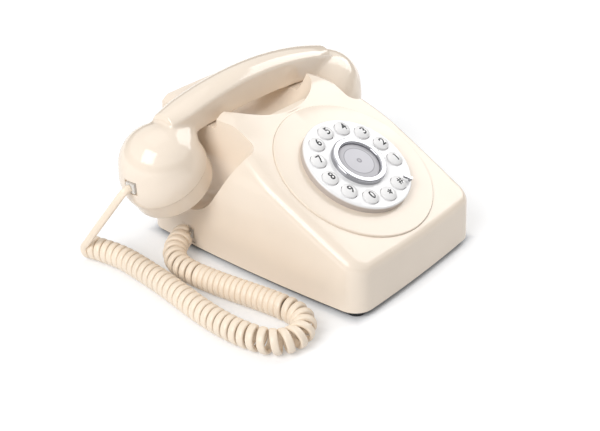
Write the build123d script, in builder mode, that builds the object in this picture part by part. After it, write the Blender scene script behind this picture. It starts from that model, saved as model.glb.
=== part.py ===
"""Desk telephone with twelve push buttons set out like a dial, a cradle and a curly cord.

Millimetres. The origin is on the table under the middle of the case, +X is the
telephone's right, -Y faces the person who dials and +Z is up.
"""
import os
from bisect import bisect_left
from math import cos, pi, radians, sin, sqrt, tan

from build123d import *

os.makedirs("parts", exist_ok=True)

# Case
body_width = 140.0
body_depth = 190.0
side_bow = 3.6
end_bow = 2.0
corner_radius = 14.0
side_draft = 0.02
end_draft = 0.054
wall = 2.5
front_height = 33.5
deck_slope = 27.7
deck_edge_radius = 8.0
crest_height = 98.0
crest_radius = 25.0
shoulder_height = 58.0
shoulder_radius = 45.0
shoulder_offset = 0.2
tool_reach = 200.0

# Base plate, feet and their screws
foot_height = 3.0
foot_diameter = 13.0
foot_edge = 0.4
plate_thickness = 1.5
plate_inset = 1.2
screw_diameter = 2.8
screw_clearance = 0.1
screw_head_diameter = 6.0
screw_head_height = 1.6
screw_length = 9.0
boss_radius = 5.0
boss_height = 15.0
boss_wall_overlap = 1.0
boss_inset = 25.0

# Cradle
cradle_y = 55.0
dish_y = 49.0
dish_z = 120.0
dish_radius = 44.3
dish_crown_radius = 56.0
ledge_length = 40.0
ledge_front_y = 21.5
ledge_top_z = 91.0
ledge_height = 3.0
channel_side_gap = 2.0
channel_corner_radius = 3.0
seat_gap = 0.3
horn_half_width = 50.2
pocket_radius = 33.5
pocket_lean = 35.0
pocket_blend = 9.0

# Handset
handle_top_z = 117.6
handle_height = 27.0
handle_width = 30.0
handle_straight = 52.0
handle_top_drop = 4.8
handle_bottom_drop = 2.4
handle_ridge_share = 0.63
handle_bottom_share = 0.62
handle_bottom_radius = 3.0
handle_ridge_radius = 2.2
flare_stations = [
    # Offsets of the outer and the inner side from the dome's middle, width, two edge radii
    ((-9.3, 43.0), (-21.8, 19.6), 34.0, 4.0, 4.0),
    ((11.7, 34.4), (-20.0, 14.5), 41.0, 12.0, 6.0),
    ((26.2, 14.2), (-14.0, 11.2), 47.0, 14.0, 6.0),
]
dome_x = 83.3
dome_z = 64.8
dome_radius = 30.0
dome_tilt = 30.0
chamber_radius = 24.0
chamber_depth = 16.0
cap_step = 0.4
cap_height = 14.4
cap_end_radius = 28.4
cap_crown = 2.6
cap_wall = 2.5
sound_hole_diameter = 2.2
sound_ring_radii = (6.5, 13.0)
sound_ring_counts = (6, 12)
capsule_radius = 21.0
capsule_height = 8.0

# Dial face with the buttons
dial_up_slope = 64.4
bezel_radius = 57.2
bezel_rise = 1.2
bezel_recess = 1.0
bezel_opening = 37.0
bezel_edge_radius = 0.8
skirt_radius = 51.8
skirt_wall = 2.3
skirt_depth = 8.0
fit_gap = 0.2
dial_plate_radius = 38.8
dial_plate_rise = 6.2
dial_plate_wall = 2.2
dial_edge_radius = 1.2
ring_outer_radius = 19.5
ring_inner_radius = 14.9
ring_height = 3.4
ring_edge_radius = 1.3
card_gap = 0.2
card_height = 1.4
card_crown = 0.6
stop_angle = -53.5
stop_inner_radius = 31.5
stop_outer_radius = 38.0
stop_root_width = 2.4
stop_tip_width = 1.5
stop_post_diameter = 1.8
stop_gap = 1.6
stop_thickness = 1.5

# Buttons
button_names = ("1", "2", "3", "4", "5", "6", "7", "8", "9", "0", "star", "hash")
button_ring_radius = 29.7
button_first_angle = -22.0
button_step_angle = 28.8
button_diameter = 11.0
button_gap = 0.3
button_rise = 3.0
button_dome = 1.8
button_flange_diameter = 13.0
button_flange_height = 1.4
button_stem_diameter = 5.0
button_travel = 1.5
press_gap = 0.3
keypad_board_thickness = 1.6
membrane_thickness = 1.2
membrane_radius = 44.0

# Hook switch inside the case
plunger_x = 43.0
plunger_diameter = 7.0
plunger_gap = 0.3
plunger_travel = 4.0
yoke_clearance = 3.2
yoke_thickness = 4.0
yoke_width = 8.0
yoke_end = 4.0
switch_length = 20.0
switch_width = 10.0
switch_height = 12.0
lever_height = 1.7
lever_width = 6.0
bracket_width = 24.0
bracket_depth = 16.0
bracket_sheet = 2.0
bracket_flange = 40.0

# Main board inside the case
board_length = 100.0
board_depth = 56.0
board_gap = 11.0
board_thickness = 1.6
standoff_height = 5.0
standoff_diameter = 6.0
standoff_inset = 6.0
transformer_length = 18.0
transformer_depth = 16.0
transformer_height = 14.0
capacitor_diameter = 10.0
capacitor_height = 15.0
chip_length = 22.0
chip_depth = 8.0
chip_height = 4.0

# Ringer inside the case
ringer_y = 5.0
gong_spacing = 48.0
gong_radius = 20.0
gong_height = 14.0
gong_sheet = 1.2
gong_lift = 24.0
gong_post_diameter = 7.0
gong_screw_diameter = 3.0
gong_screw_depth = 6.0
gong_head_diameter = 7.0
gong_head_height = 2.4
ringer_sheet = 1.5
ringer_length = 66.0
ringer_depth = 46.0
clapper_y = -12.0
clapper_post_diameter = 6.0
clapper_pin_diameter = 3.0
clapper_bore_gap = 0.05
clapper_hub_diameter = 7.0
clapper_hub_height = 4.0
clapper_hub_lift = 26.0
clapper_end_gap = 0.1
clapper_arm = 1.8
clapper_ball_diameter = 5.0
coil_diameter = 18.0
coil_height = 18.0
coil_y = 9.0
coil_core_diameter = 10.0
coil_flange = 1.5

# Jacks and plugs
jack_size = 12.0
jack_length = 14.0
jack_z = 12.7
handset_jack_y = 51.5
line_jack_x = -30.0
jack_set_back = 0.4
plug_width = 7.7
plug_height = 6.5
plug_length = 12.0
plug_gap = 0.3
plug_proud = 0.6
plug_clear = 0.3
line_socket_width = 9.8
line_socket_height = 6.9
line_socket_depth = 11.0
socket_width = 10.3
socket_height = 9.1
socket_length = 11.5
socket_set_back = 1.8

# Curly cord: the coil's axis on the table, and the straight lead down from the handset
wire_diameter = 3.2
coil_outer_diameter = 16.4
coil_floor_gap = 0.2
pitch_outer = 5.6
pitch_bend = 6.6
pitch_return = 4.2
pitch_hook = 5.8
bend_starts_at = 155.0
bend_ends_at = 222.0
hook_length = 52.0
curl_fraction = 0.75
coil_axis = [
    (-119.5, 96.0), (-116.0, 80.0), (-115.0, 64.0), (-116.8, 46.0), (-118.8, 28.0), (-122.0, 8.0),
    (-125.6, -12.0), (-127.8, -30.0), (-128.2, -48.0), (-126.2, -62.0), (-122.9, -71.3), (-116.4, -77.2),
    (-108.2, -79.2), (-100.0, -76.8), (-93.8, -70.8), (-91.0, -62.0), (-91.4, -50.0), (-93.0, -36.0),
    (-95.4, -20.0), (-97.6, -4.0), (-98.8, 10.0), (-98.9, 22.0), (-97.6, 31.5), (-94.0, 40.0), (-87.6, 46.8),
    (-79.0, 50.8),
]
lead_points = [
    (-120.0, 55.0, 64.8), (-124.6, 58.5, 58.5), (-126.0, 67.0, 47.0), (-126.4, 80.0, 30.0),
]
lead_end = (-126.3, 91.5, 14.7)

# Worked out from the sizes above
case_bottom = foot_height + plate_thickness
deck_rise = tan(radians(deck_slope))
crest_y = (crest_height - front_height) / deck_rise - body_depth / 2
deck_up = Vector(0, cos(radians(deck_slope)), sin(radians(deck_slope)))
deck_normal = Vector(0, -sin(radians(deck_slope)), cos(radians(deck_slope)))
dial_centre = Vector(0, -body_depth / 2, front_height) + deck_up * dial_up_slope
dial_face = Plane(origin=dial_centre, x_dir=(1, 0, 0), z_dir=deck_normal)
top_arch = (handle_straight**2 + handle_top_drop**2) / (2 * handle_top_drop)
bottom_arch = (handle_straight**2 + handle_bottom_drop**2) / (2 * handle_bottom_drop)
board_front = board_gap - body_depth / 2
yoke_top = dish_z - dish_radius - wall - plunger_travel - yoke_clearance


def handle_top(x):
    """Height of the handle's back at a distance x from the middle."""
    return handle_top_z - (top_arch - sqrt(top_arch**2 - x**2))


def handle_bottom(x):
    """Height of the handle's underside at a distance x from the middle."""
    return handle_top_z - handle_height - (bottom_arch - sqrt(bottom_arch**2 - x**2))


rest_top = handle_bottom(horn_half_width) - seat_gap
plunger_top = handle_bottom(plunger_x + plunger_diameter / 2) - seat_gap


def keep(piece, name):
    """Label a finished piece and write it as its own file."""
    piece.part.label = name
    export_step(piece.part, f"parts/{name}.step")


def half_width(z):
    """Half width of the case at mid depth, at height z below the shoulders."""
    return body_width / 2 - side_draft * (z - case_bottom)


def half_depth(z):
    """Half depth of the case at mid width, at height z."""
    return body_depth / 2 - end_draft * (z - case_bottom)


def side_at(y, z):
    """Distance of the case's side from the middle plane at depth y and height z."""
    return half_width(z) - side_bow * (y / half_depth(z)) ** 2


def rear_at(x, z):
    """Depth of the case's rear wall at a distance x from the middle, at height z."""
    return half_depth(z) - end_bow * (x / half_width(z)) ** 2


def plan_slab(bottom, top, inset):
    """Body with bowed sides, rounded corners and draft, drawn in by inset."""
    with BuildPart() as slab:
        for level in (bottom, top):
            w = half_width(level) - inset
            d = half_depth(level) - inset
            with BuildSketch(Plane.XY.offset(level)) as plan:
                with BuildLine():
                    ThreePointArc((-w + side_bow, -d + end_bow), (0, -d), (w - side_bow, -d + end_bow))
                    ThreePointArc((w - side_bow, -d + end_bow), (w, 0), (w - side_bow, d - end_bow))
                    ThreePointArc((w - side_bow, d - end_bow), (0, d), (-w + side_bow, d - end_bow))
                    ThreePointArc((-w + side_bow, d - end_bow), (-w, 0), (-w + side_bow, -d + end_bow))
                make_face()
                fillet(plan.vertices(), corner_radius - inset)
        loft(ruled=True)
    return slab.part


def case_form(bottom, inset):
    """Plan, sloping deck, rounded crest and shoulders of the case, drawn in by inset."""
    shoulder_x = half_width(shoulder_height) + shoulder_offset - inset
    deck_shift = inset / cos(radians(deck_slope))
    low = front_height - deck_shift - (tool_reach - body_depth / 2) * deck_rise
    top = crest_height - inset
    with BuildPart() as form:
        add(plan_slab(bottom, crest_height + wall, inset))
        with BuildSketch(Plane.YZ) as side:
            with BuildLine():
                Polyline(
                    (-tool_reach, low),
                    (crest_y + (deck_shift - inset) / deck_rise, top),
                    (tool_reach, top),
                    (tool_reach, low - wall),
                    (-tool_reach, low - wall),
                    close=True,
                )
            make_face()
            fillet(side.vertices().group_by(Axis.Y)[-1].sort_by(Axis.X)[0], crest_radius - inset)
        extrude(amount=body_width, both=True, mode=Mode.INTERSECT)
        with BuildSketch(Plane.XZ):
            with BuildLine() as arch:
                foot = Line((shoulder_x + wall, 0), (shoulder_x, shoulder_height))
                shoulder = JernArc(foot @ 1, (0, 1), shoulder_radius - inset, 75)
                Line(shoulder @ 1, (0, (shoulder @ 1).Y))
                Line((0, 0), foot @ 0)
                mirror(about=Plane.YZ)
            make_face()
        extrude(amount=body_depth, both=True, mode=Mode.INTERSECT)
    return form.part


def dish_form(margin):
    """Barrel-shaped hollow between the horns, grown by margin."""
    sunk = dish_crown_radius - dish_radius
    half_length = sqrt((dish_crown_radius + margin) ** 2 - sunk**2)
    with BuildPart() as dish:
        with BuildSketch(Plane((0, dish_y, dish_z))):
            with BuildLine():
                ThreePointArc((-half_length, 0), (0, dish_radius + margin), (half_length, 0))
                Line((half_length, 0), (-half_length, 0))
            make_face()
        revolve(axis=Axis((0, dish_y, dish_z), (1, 0, 0)))
    return dish.part


def pocket_form(side, margin):
    """Hollow beside the cradle that one end of the handset hangs in, grown by margin."""
    radius = pocket_radius + margin
    lean = radians(pocket_lean)
    foot_y = radius * cos(lean)
    foot_z = dome_z - radius * sin(lean)
    rise = crest_height + wall - foot_z
    with BuildPart() as pocket:
        with BuildSketch(Plane.YZ.offset(side * (horn_half_width - margin))):
            with BuildLine():
                ThreePointArc(
                    (cradle_y - foot_y, foot_z), (cradle_y, dome_z - radius), (cradle_y + foot_y, foot_z)
                )
                Polyline(
                    (cradle_y + foot_y, foot_z),
                    (cradle_y + foot_y + rise * tan(lean), foot_z + rise),
                    (cradle_y - foot_y - rise * tan(lean), foot_z + rise),
                    (cradle_y - foot_y, foot_z),
                )
            make_face()
        extrude(amount=side * body_width)
        inner_end = pocket.faces().filter_by(Axis.X).sort_by(Axis.X)[0 if side > 0 else -1]
        low_edges = inner_end.edges().filter_by(lambda e: e.center().Z < crest_height)
        fillet(low_edges, pocket_blend)
    return pocket.part


def channel_form(margin):
    """Trough across the horns that the handle lies in, grown by margin."""
    with BuildPart() as trough:
        with BuildSketch(Plane.YZ) as channel:
            with Locations((cradle_y, rest_top - margin)):
                Rectangle(
                    handle_width + 2 * (channel_side_gap + margin),
                    crest_height,
                    align=(Align.CENTER, Align.MIN),
                )
            fillet(channel.vertices().group_by(Axis.Y)[0], channel_corner_radius + margin)
        extrude(amount=body_width, both=True)
    return trough.part


def end_plane(side):
    """Plane of one handset seam, its normal pointing up into the dome."""
    tilt = radians(dome_tilt)
    return Plane((side * dome_x, cradle_y, dome_z), x_dir=(0, 1, 0), z_dir=(side * sin(tilt), 0, cos(tilt)))


# Housing: a moulded shell with a sloping deck, two horns, a finger dish and side hollows
case_solid = case_form(case_bottom, 0)
cavity = case_form(case_bottom - wall, wall)
dish_cut = dish_form(0)
dish_skin = dish_form(wall)
pocket_cuts = [pocket_form(side, 0) for side in (-1, 1)]
pocket_skins = [pocket_form(side, wall) for side in (-1, 1)]
corner = Vector(
    half_width(case_bottom) - side_bow - corner_radius,
    half_depth(case_bottom) - end_bow - corner_radius,
)
boss_y = body_depth / 2 - boss_inset
boss_x = side_at(boss_y, case_bottom) - wall - boss_radius + boss_wall_overlap
boss_places = [(i * boss_x, j * boss_y) for i in (-1, 1) for j in (-1, 1)]

with BuildPart() as hollow:
    add(cavity)
    add(dish_skin, mode=Mode.SUBTRACT)
    add(pocket_skins, mode=Mode.SUBTRACT)
    add(channel_form(wall), mode=Mode.SUBTRACT)

with BuildPart() as grip_ledge:
    with Locations((0, ledge_front_y, ledge_top_z)):
        Box(ledge_length, dish_radius, ledge_height, align=(Align.CENTER, Align.MAX, Align.MAX))
    add(dish_form(wall / 2), mode=Mode.INTERSECT)

with BuildPart() as housing:
    add(case_solid)
    deck = housing.faces().sort_by(Axis((0, 0, 0), tuple(deck_normal)))[-1]
    fillet(deck.edges().sort_by(Axis.Z)[:-1], deck_edge_radius)
    add(pocket_cuts, mode=Mode.SUBTRACT)
    add(dish_cut, mode=Mode.SUBTRACT)
    add(channel_form(0), mode=Mode.SUBTRACT)
    add(hollow.part, mode=Mode.SUBTRACT)
    with BuildSketch(Plane.XY.offset(case_bottom)):
        with Locations(*boss_places):
            Circle(boss_radius)
    extrude(amount=boss_height)
    add(grip_ledge.part)
    with BuildSketch(Plane.XY.offset(case_bottom)):
        with Locations(*boss_places):
            Circle(screw_diameter / 2 + screw_clearance)
    extrude(amount=screw_length, mode=Mode.SUBTRACT)
    with BuildSketch(Plane.XY.offset(yoke_top)):
        with Locations((-plunger_x, cradle_y), (plunger_x, cradle_y)):
            Circle(plunger_diameter / 2 + plunger_gap)
    extrude(amount=crest_height, mode=Mode.SUBTRACT)
    with BuildSketch(dial_face):
        Circle(skirt_radius + fit_gap)
    extrude(amount=-2 * wall, mode=Mode.SUBTRACT)
    with BuildSketch(dial_face):
        Circle(bezel_radius + fit_gap)
    extrude(amount=-bezel_recess, mode=Mode.SUBTRACT)
    with BuildSketch(Plane.YZ.offset(-side_at(handset_jack_y, jack_z) - wall)):
        with Locations((handset_jack_y, jack_z)):
            Rectangle(jack_size + 2 * fit_gap, jack_size + 2 * fit_gap)
    extrude(amount=3 * wall, mode=Mode.SUBTRACT)
    with BuildSketch(Plane.XZ.offset(-rear_at(line_jack_x, jack_z) - wall)):
        with Locations((line_jack_x, jack_z)):
            Rectangle(jack_size + 2 * fit_gap, jack_size + 2 * fit_gap)
    extrude(amount=3 * wall, mode=Mode.SUBTRACT)
keep(housing, "housing")

# Base plate with the standoffs of the main board
standoff_places = [
    (i * (board_length / 2 - standoff_inset), board_front + j)
    for i in (-1, 1)
    for j in (standoff_inset, board_depth - standoff_inset)
]
foot_out = (corner_radius - plate_inset - foot_edge - foot_diameter / 2) / sqrt(2)
foot_places = [(i * (corner.X + foot_out), j * (corner.Y + foot_out)) for i in (-1, 1) for j in (-1, 1)]
with BuildPart() as base_plate:
    add(plan_slab(foot_height, case_bottom, plate_inset))
    with BuildSketch(Plane.XY.offset(case_bottom)):
        with Locations(*standoff_places):
            Circle(standoff_diameter / 2)
    extrude(amount=standoff_height)
    with BuildSketch(Plane.XY.offset(foot_height)):
        with Locations(*boss_places):
            Circle(screw_diameter / 2 + screw_clearance)
    extrude(amount=plate_thickness, mode=Mode.SUBTRACT)
keep(base_plate, "base_plate")

# Four rubber feet
with BuildPart() as rubber_feet:
    with BuildSketch(Plane.XY.offset(foot_height)):
        with Locations(*foot_places):
            Circle(foot_diameter / 2)
    extrude(amount=-foot_height, taper=8)
keep(rubber_feet, "rubber_feet")

# Four screws that hold the plate to the bosses of the housing
with BuildPart() as base_screws:
    with BuildSketch(Plane.XY.offset(foot_height)):
        with Locations(*boss_places):
            Circle(screw_head_diameter / 2)
    extrude(amount=-screw_head_height)
    with BuildSketch(Plane.XY.offset(foot_height)):
        with Locations(*boss_places):
            Circle(screw_diameter / 2)
    extrude(amount=screw_length)
keep(base_screws, "base_screws")

# Bezel that closes the round opening of the deck and carries the dial and the keypad
with BuildPart() as dial_bezel:
    with BuildSketch(dial_face.offset(-bezel_recess)):
        Circle(bezel_radius)
        Circle(bezel_opening, mode=Mode.SUBTRACT)
    extrude(amount=bezel_recess + bezel_rise)
    rim = dial_bezel.edges().filter_by(GeomType.CIRCLE).group_by(SortBy.RADIUS)[-1]
    fillet(rim.sort_by(Axis((0, 0, 0), tuple(deck_normal)))[-1], bezel_edge_radius)
    with BuildSketch(dial_face.offset(-skirt_depth)):
        Circle(skirt_radius)
        Circle(skirt_radius - skirt_wall, mode=Mode.SUBTRACT)
    extrude(amount=skirt_depth - bezel_recess)
keep(dial_bezel, "dial_bezel")

# White dial plate, a shallow cup with twelve round holes
button_angles = [button_first_angle + k * button_step_angle for k in range(len(button_names))]
button_places = [
    (button_ring_radius * cos(radians(a)), button_ring_radius * sin(radians(a))) for a in button_angles
]
with BuildPart() as dial_plate:
    with BuildSketch(dial_face.offset(bezel_rise)):
        Circle(dial_plate_radius)
    extrude(amount=dial_plate_rise - bezel_rise)
    top_rim = dial_plate.edges().sort_by(Axis((0, 0, 0), tuple(deck_normal)))[-1]
    fillet(top_rim, dial_edge_radius)
    with BuildSketch(dial_face.offset(bezel_rise)):
        Circle(dial_plate_radius - dial_plate_wall)
    extrude(amount=dial_plate_rise - bezel_rise - dial_plate_wall, mode=Mode.SUBTRACT)
    with BuildSketch(dial_face):
        with Locations(*button_places):
            Circle(button_diameter / 2 + button_gap)
    extrude(amount=dial_plate_rise, mode=Mode.SUBTRACT)
keep(dial_plate, "dial_plate")

# Keypad board on the skirt of the bezel, with the rubber membrane on it
with BuildPart() as keypad_board:
    with BuildSketch(dial_face.offset(-skirt_depth)):
        Circle(skirt_radius)
    extrude(amount=-keypad_board_thickness)
keep(keypad_board, "keypad_board")

with BuildPart() as keypad_membrane:
    with BuildSketch(dial_face.offset(-skirt_depth)):
        Circle(membrane_radius)
    extrude(amount=membrane_thickness)
keep(keypad_membrane, "keypad_membrane")

# Bright ring and plain card in the middle of the dial
with BuildPart() as centre_ring:
    with BuildSketch(dial_face.offset(dial_plate_rise)):
        Circle(ring_outer_radius)
        Circle(ring_inner_radius, mode=Mode.SUBTRACT)
    extrude(amount=ring_height)
    ring_top = centre_ring.faces().sort_by(Axis((0, 0, 0), tuple(deck_normal)))[-1]
    fillet(ring_top.edges(), ring_edge_radius)
keep(centre_ring, "centre_ring")

card_radius = ring_inner_radius - card_gap
with BuildPart() as centre_card:
    with BuildSketch(Plane(dial_centre, x_dir=(1, 0, 0), z_dir=-deck_up)):
        with BuildLine():
            Polyline(
                (0, dial_plate_rise + card_height + card_crown),
                (0, dial_plate_rise),
                (card_radius, dial_plate_rise),
                (card_radius, dial_plate_rise + card_height),
            )
            RadiusArc(
                (card_radius, dial_plate_rise + card_height),
                (0, dial_plate_rise + card_height + card_crown),
                -(card_radius**2 + card_crown**2) / (2 * card_crown),
            )
        make_face()
    revolve(axis=Axis(tuple(dial_centre), tuple(deck_normal)))
keep(centre_card, "centre_card")

# Finger stop over the gap between the first and the last button
stop_direction = dial_face.x_dir.rotate(Axis((0, 0, 0), tuple(deck_normal)), stop_angle)
stop_turn = Plane(dial_face.origin, x_dir=stop_direction, z_dir=deck_normal)
with BuildPart() as finger_stop:
    with BuildSketch(stop_turn.offset(dial_plate_rise + stop_gap)) as blade:
        with BuildLine():
            Polyline(
                (stop_inner_radius, -stop_tip_width / 2),
                (stop_outer_radius, -stop_root_width / 2),
                (stop_outer_radius, stop_root_width / 2),
                (stop_inner_radius, stop_tip_width / 2),
                close=True,
            )
        make_face()
        fillet(blade.vertices(), stop_tip_width / 3)
    extrude(amount=stop_thickness)
    with BuildSketch(stop_turn.offset(dial_plate_rise)):
        with Locations((stop_outer_radius - stop_root_width / 2, 0)):
            Circle(stop_post_diameter / 2)
    extrude(amount=stop_gap)
keep(finger_stop, "finger_stop")

# Twelve buttons with domed tops, a flange under the dial plate and a stem over the membrane
stem_end = membrane_thickness - skirt_depth + button_travel + press_gap
flange_top = dial_plate_rise - dial_plate_wall - button_gap
button_top = dial_plate_rise + button_rise
button_radius = button_diameter / 2
for button_name, place in zip(button_names, button_places):
    axis_point = dial_face.from_local_coords(place)
    with BuildPart() as button:
        with BuildSketch(Plane(axis_point, x_dir=(1, 0, 0), z_dir=-deck_up)):
            with BuildLine():
                Polyline(
                    (0, button_top),
                    (0, stem_end),
                    (button_stem_diameter / 2, stem_end),
                    (button_stem_diameter / 2, flange_top - button_flange_height),
                    (button_flange_diameter / 2, flange_top - button_flange_height),
                    (button_flange_diameter / 2, flange_top),
                    (button_radius, flange_top),
                    (button_radius, button_top - button_dome),
                )
                RadiusArc(
                    (button_radius, button_top - button_dome),
                    (0, button_top),
                    -(button_radius**2 + button_dome**2) / (2 * button_dome),
                )
            make_face()
        revolve(axis=Axis(tuple(axis_point), tuple(deck_normal)))
    keep(button, f"button_{button_name}")

# Plungers of the hook switch, and the yoke that joins them under the dish
for side, plunger_name in ((-1, "hook_plunger_left"), (1, "hook_plunger_right")):
    with BuildPart() as plunger:
        with BuildSketch(Plane.XY.offset(yoke_top)):
            with Locations((side * plunger_x, cradle_y)):
                Circle(plunger_diameter / 2)
        extrude(amount=plunger_top - yoke_top)
        fillet(plunger.edges().sort_by(Axis.Z)[-1], plunger_diameter / 5)
    keep(plunger, plunger_name)

with BuildPart() as plunger_yoke:
    with BuildSketch(Plane.XY.offset(yoke_top)):
        with Locations((0, cradle_y)):
            SlotOverall(2 * (plunger_x + yoke_end), yoke_width)
    extrude(amount=-yoke_thickness)
keep(plunger_yoke, "plunger_yoke")

# Hook switch under the yoke, on a folded bracket that stands on the base plate
lever_top = yoke_top - yoke_thickness - seat_gap
switch_top = lever_top - lever_height
with BuildPart() as hook_switch:
    with BuildSketch(Plane.XY.offset(switch_top)):
        with Locations((0, cradle_y)):
            Rectangle(switch_length, switch_width)
    extrude(amount=-switch_height)
    with BuildSketch(Plane.XZ.offset(-cradle_y)):
        with BuildLine():
            Polyline(
                (-switch_length / 2, switch_top),
                (-switch_length / 2 + lever_height, switch_top),
                (switch_length / 2, lever_top - lever_height / 2),
                (switch_length / 2, lever_top),
                (switch_length / 2 - lever_height, lever_top),
                (-switch_length / 2, switch_top + lever_height / 2),
                close=True,
            )
        make_face()
    extrude(amount=lever_width / 2, both=True)
keep(hook_switch, "hook_switch")

bracket_top = switch_top - switch_height
with BuildPart() as hook_bracket:
    with BuildSketch(Plane.XY.offset(case_bottom)):
        with Locations((0, cradle_y)):
            Rectangle(bracket_flange, bracket_depth)
    extrude(amount=bracket_sheet)
    with BuildSketch(Plane.XY.offset(case_bottom)):
        with Locations((0, cradle_y)):
            Rectangle(bracket_width, bracket_depth)
            Rectangle(bracket_width - 2 * bracket_sheet, bracket_depth, mode=Mode.SUBTRACT)
    extrude(amount=bracket_top - case_bottom)
    with BuildSketch(Plane.XY.offset(bracket_top)):
        with Locations((0, cradle_y)):
            Rectangle(bracket_width, bracket_depth)
    extrude(amount=-bracket_sheet)
keep(hook_bracket, "hook_bracket")

# Main board on the standoffs, with its largest components
board_bottom = case_bottom + standoff_height
board_top = board_bottom + board_thickness
board_y = board_front + board_depth / 2
with BuildPart() as main_board:
    with BuildSketch(Plane.XY.offset(board_bottom)):
        with Locations((0, board_y)):
            RectangleRounded(board_length, board_depth, standoff_inset / 2)
    extrude(amount=board_thickness)
keep(main_board, "main_board")

with BuildPart() as board_components:
    with BuildSketch(Plane.XY.offset(board_top)):
        with Locations((-board_length / 4, board_y + board_depth / 6)):
            Rectangle(transformer_length, transformer_depth)
    extrude(amount=transformer_height)
    with BuildSketch(Plane.XY.offset(board_top)):
        with Locations((board_length / 4, board_y), (board_length / 4 + 2 * capacitor_diameter, board_y)):
            Circle(capacitor_diameter / 2)
    extrude(amount=capacitor_height)
    with BuildSketch(Plane.XY.offset(board_top)):
        with Locations((0, board_y - board_depth / 4), (0, board_y + board_depth / 4)):
            Rectangle(chip_length, chip_depth)
    extrude(amount=chip_height)
keep(board_components, "board_components")

# Ringer: frame with gong posts and clapper pin, coil, two gongs with screws, clapper
frame_top = case_bottom + ringer_sheet
gong_bottom = case_bottom + gong_lift
gong_crown = gong_bottom + gong_height
gong_places = [(-gong_spacing / 2, ringer_y), (gong_spacing / 2, ringer_y)]
hub_bottom = case_bottom + clapper_hub_lift
with BuildPart() as ringer_frame:
    with BuildSketch(Plane.XY.offset(case_bottom)):
        with Locations((0, ringer_y)):
            RectangleRounded(ringer_length, ringer_depth, ringer_sheet)
    extrude(amount=ringer_sheet)
    with BuildSketch(Plane.XY.offset(frame_top)):
        with Locations(*gong_places):
            Circle(gong_post_diameter / 2)
    extrude(amount=gong_crown - gong_sheet - frame_top)
    with BuildSketch(Plane.XY.offset(gong_crown - gong_sheet)):
        with Locations(*gong_places):
            Circle(gong_screw_diameter / 2 + screw_clearance)
    extrude(amount=-gong_screw_depth, mode=Mode.SUBTRACT)
    with BuildSketch(Plane.XY.offset(frame_top)):
        with Locations((0, clapper_y)):
            Circle(clapper_post_diameter / 2)
    extrude(amount=hub_bottom - clapper_end_gap - frame_top)
    with BuildSketch(Plane.XY.offset(frame_top)):
        with Locations((0, clapper_y)):
            Circle(clapper_pin_diameter / 2)
    extrude(amount=hub_bottom + 2 * clapper_hub_height - frame_top)
keep(ringer_frame, "ringer_frame")

with BuildPart() as ringer_coil:
    with BuildSketch(Plane.XZ.offset(-coil_y)):
        with BuildLine():
            Polyline(
                (0, frame_top),
                (coil_diameter / 2, frame_top),
                (coil_diameter / 2, frame_top + coil_flange),
                (coil_core_diameter / 2 + coil_flange, frame_top + coil_flange),
                (coil_core_diameter / 2 + coil_flange, frame_top + coil_height - coil_flange),
                (coil_diameter / 2, frame_top + coil_height - coil_flange),
                (coil_diameter / 2, frame_top + coil_height),
                (0, frame_top + coil_height),
                close=True,
            )
        make_face()
    revolve(axis=Axis((0, coil_y, 0), (0, 0, 1)))
keep(ringer_coil, "ringer_coil")

gong_flat = gong_post_diameter
for (gong_x, gong_y), gong_name in zip(gong_places, ("bell_gong_left", "bell_gong_right")):
    with BuildPart() as gong:
        with BuildSketch(Plane.XZ.offset(-gong_y)):
            with BuildLine():
                outer_bow = 1.25 * (gong_radius + gong_height) / 2
                crown = Line((gong_x, gong_crown), (gong_x + gong_flat, gong_crown))
                bowl = RadiusArc(crown @ 1, (gong_x + gong_radius, gong_bottom), outer_bow)
                offset(amount=-gong_sheet, side=Side.RIGHT)
            make_face()
        revolve(axis=Axis((gong_x, gong_y, 0), (0, 0, 1)))
        with BuildSketch(Plane.XY.offset(gong_crown)):
            with Locations((gong_x, gong_y)):
                Circle(gong_screw_diameter / 2 + screw_clearance)
        extrude(amount=-2 * gong_sheet, mode=Mode.SUBTRACT)
    keep(gong, gong_name)

with BuildPart() as gong_screws:
    with BuildSketch(Plane.XY.offset(gong_crown)):
        with Locations(*gong_places):
            Circle(gong_head_diameter / 2)
    extrude(amount=gong_head_height)
    with BuildSketch(Plane.XY.offset(gong_crown)):
        with Locations(*gong_places):
            Circle(gong_screw_diameter / 2)
    extrude(amount=clapper_end_gap - gong_screw_depth)
keep(gong_screws, "gong_screws")

hub_middle = hub_bottom + clapper_hub_height / 2
with BuildPart() as clapper:
    with BuildSketch(Plane.XY.offset(hub_bottom)):
        with Locations((0, clapper_y)):
            Circle(clapper_hub_diameter / 2)
    extrude(amount=clapper_hub_height)
    with BuildSketch(Plane.XZ.offset(-clapper_y)):
        with Locations((0, hub_middle)):
            Circle(clapper_arm / 2)
    extrude(amount=clapper_y - ringer_y)
    with Locations((0, ringer_y, hub_middle)):
        Sphere(clapper_ball_diameter / 2)
    with BuildSketch(Plane.XY.offset(hub_bottom)):
        with Locations((0, clapper_y)):
            Circle(clapper_pin_diameter / 2 + clapper_bore_gap)
    extrude(amount=clapper_hub_height, mode=Mode.SUBTRACT)
keep(clapper, "clapper")

# Jacks: the handset's in the left wall and the line's in the rear wall
jack_face_x = jack_set_back - side_at(handset_jack_y, jack_z)
with BuildPart() as handset_jack:
    with BuildSketch(Plane.YZ.offset(jack_face_x)):
        with Locations((handset_jack_y, jack_z)):
            Rectangle(jack_size, jack_size)
    extrude(amount=jack_length)
    with BuildSketch(Plane.YZ.offset(jack_face_x)):
        with Locations((handset_jack_y, jack_z)):
            Rectangle(plug_width + 2 * plug_gap, plug_height + 2 * plug_gap)
    extrude(amount=plug_length + plug_gap, mode=Mode.SUBTRACT)
keep(handset_jack, "handset_jack")

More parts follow.
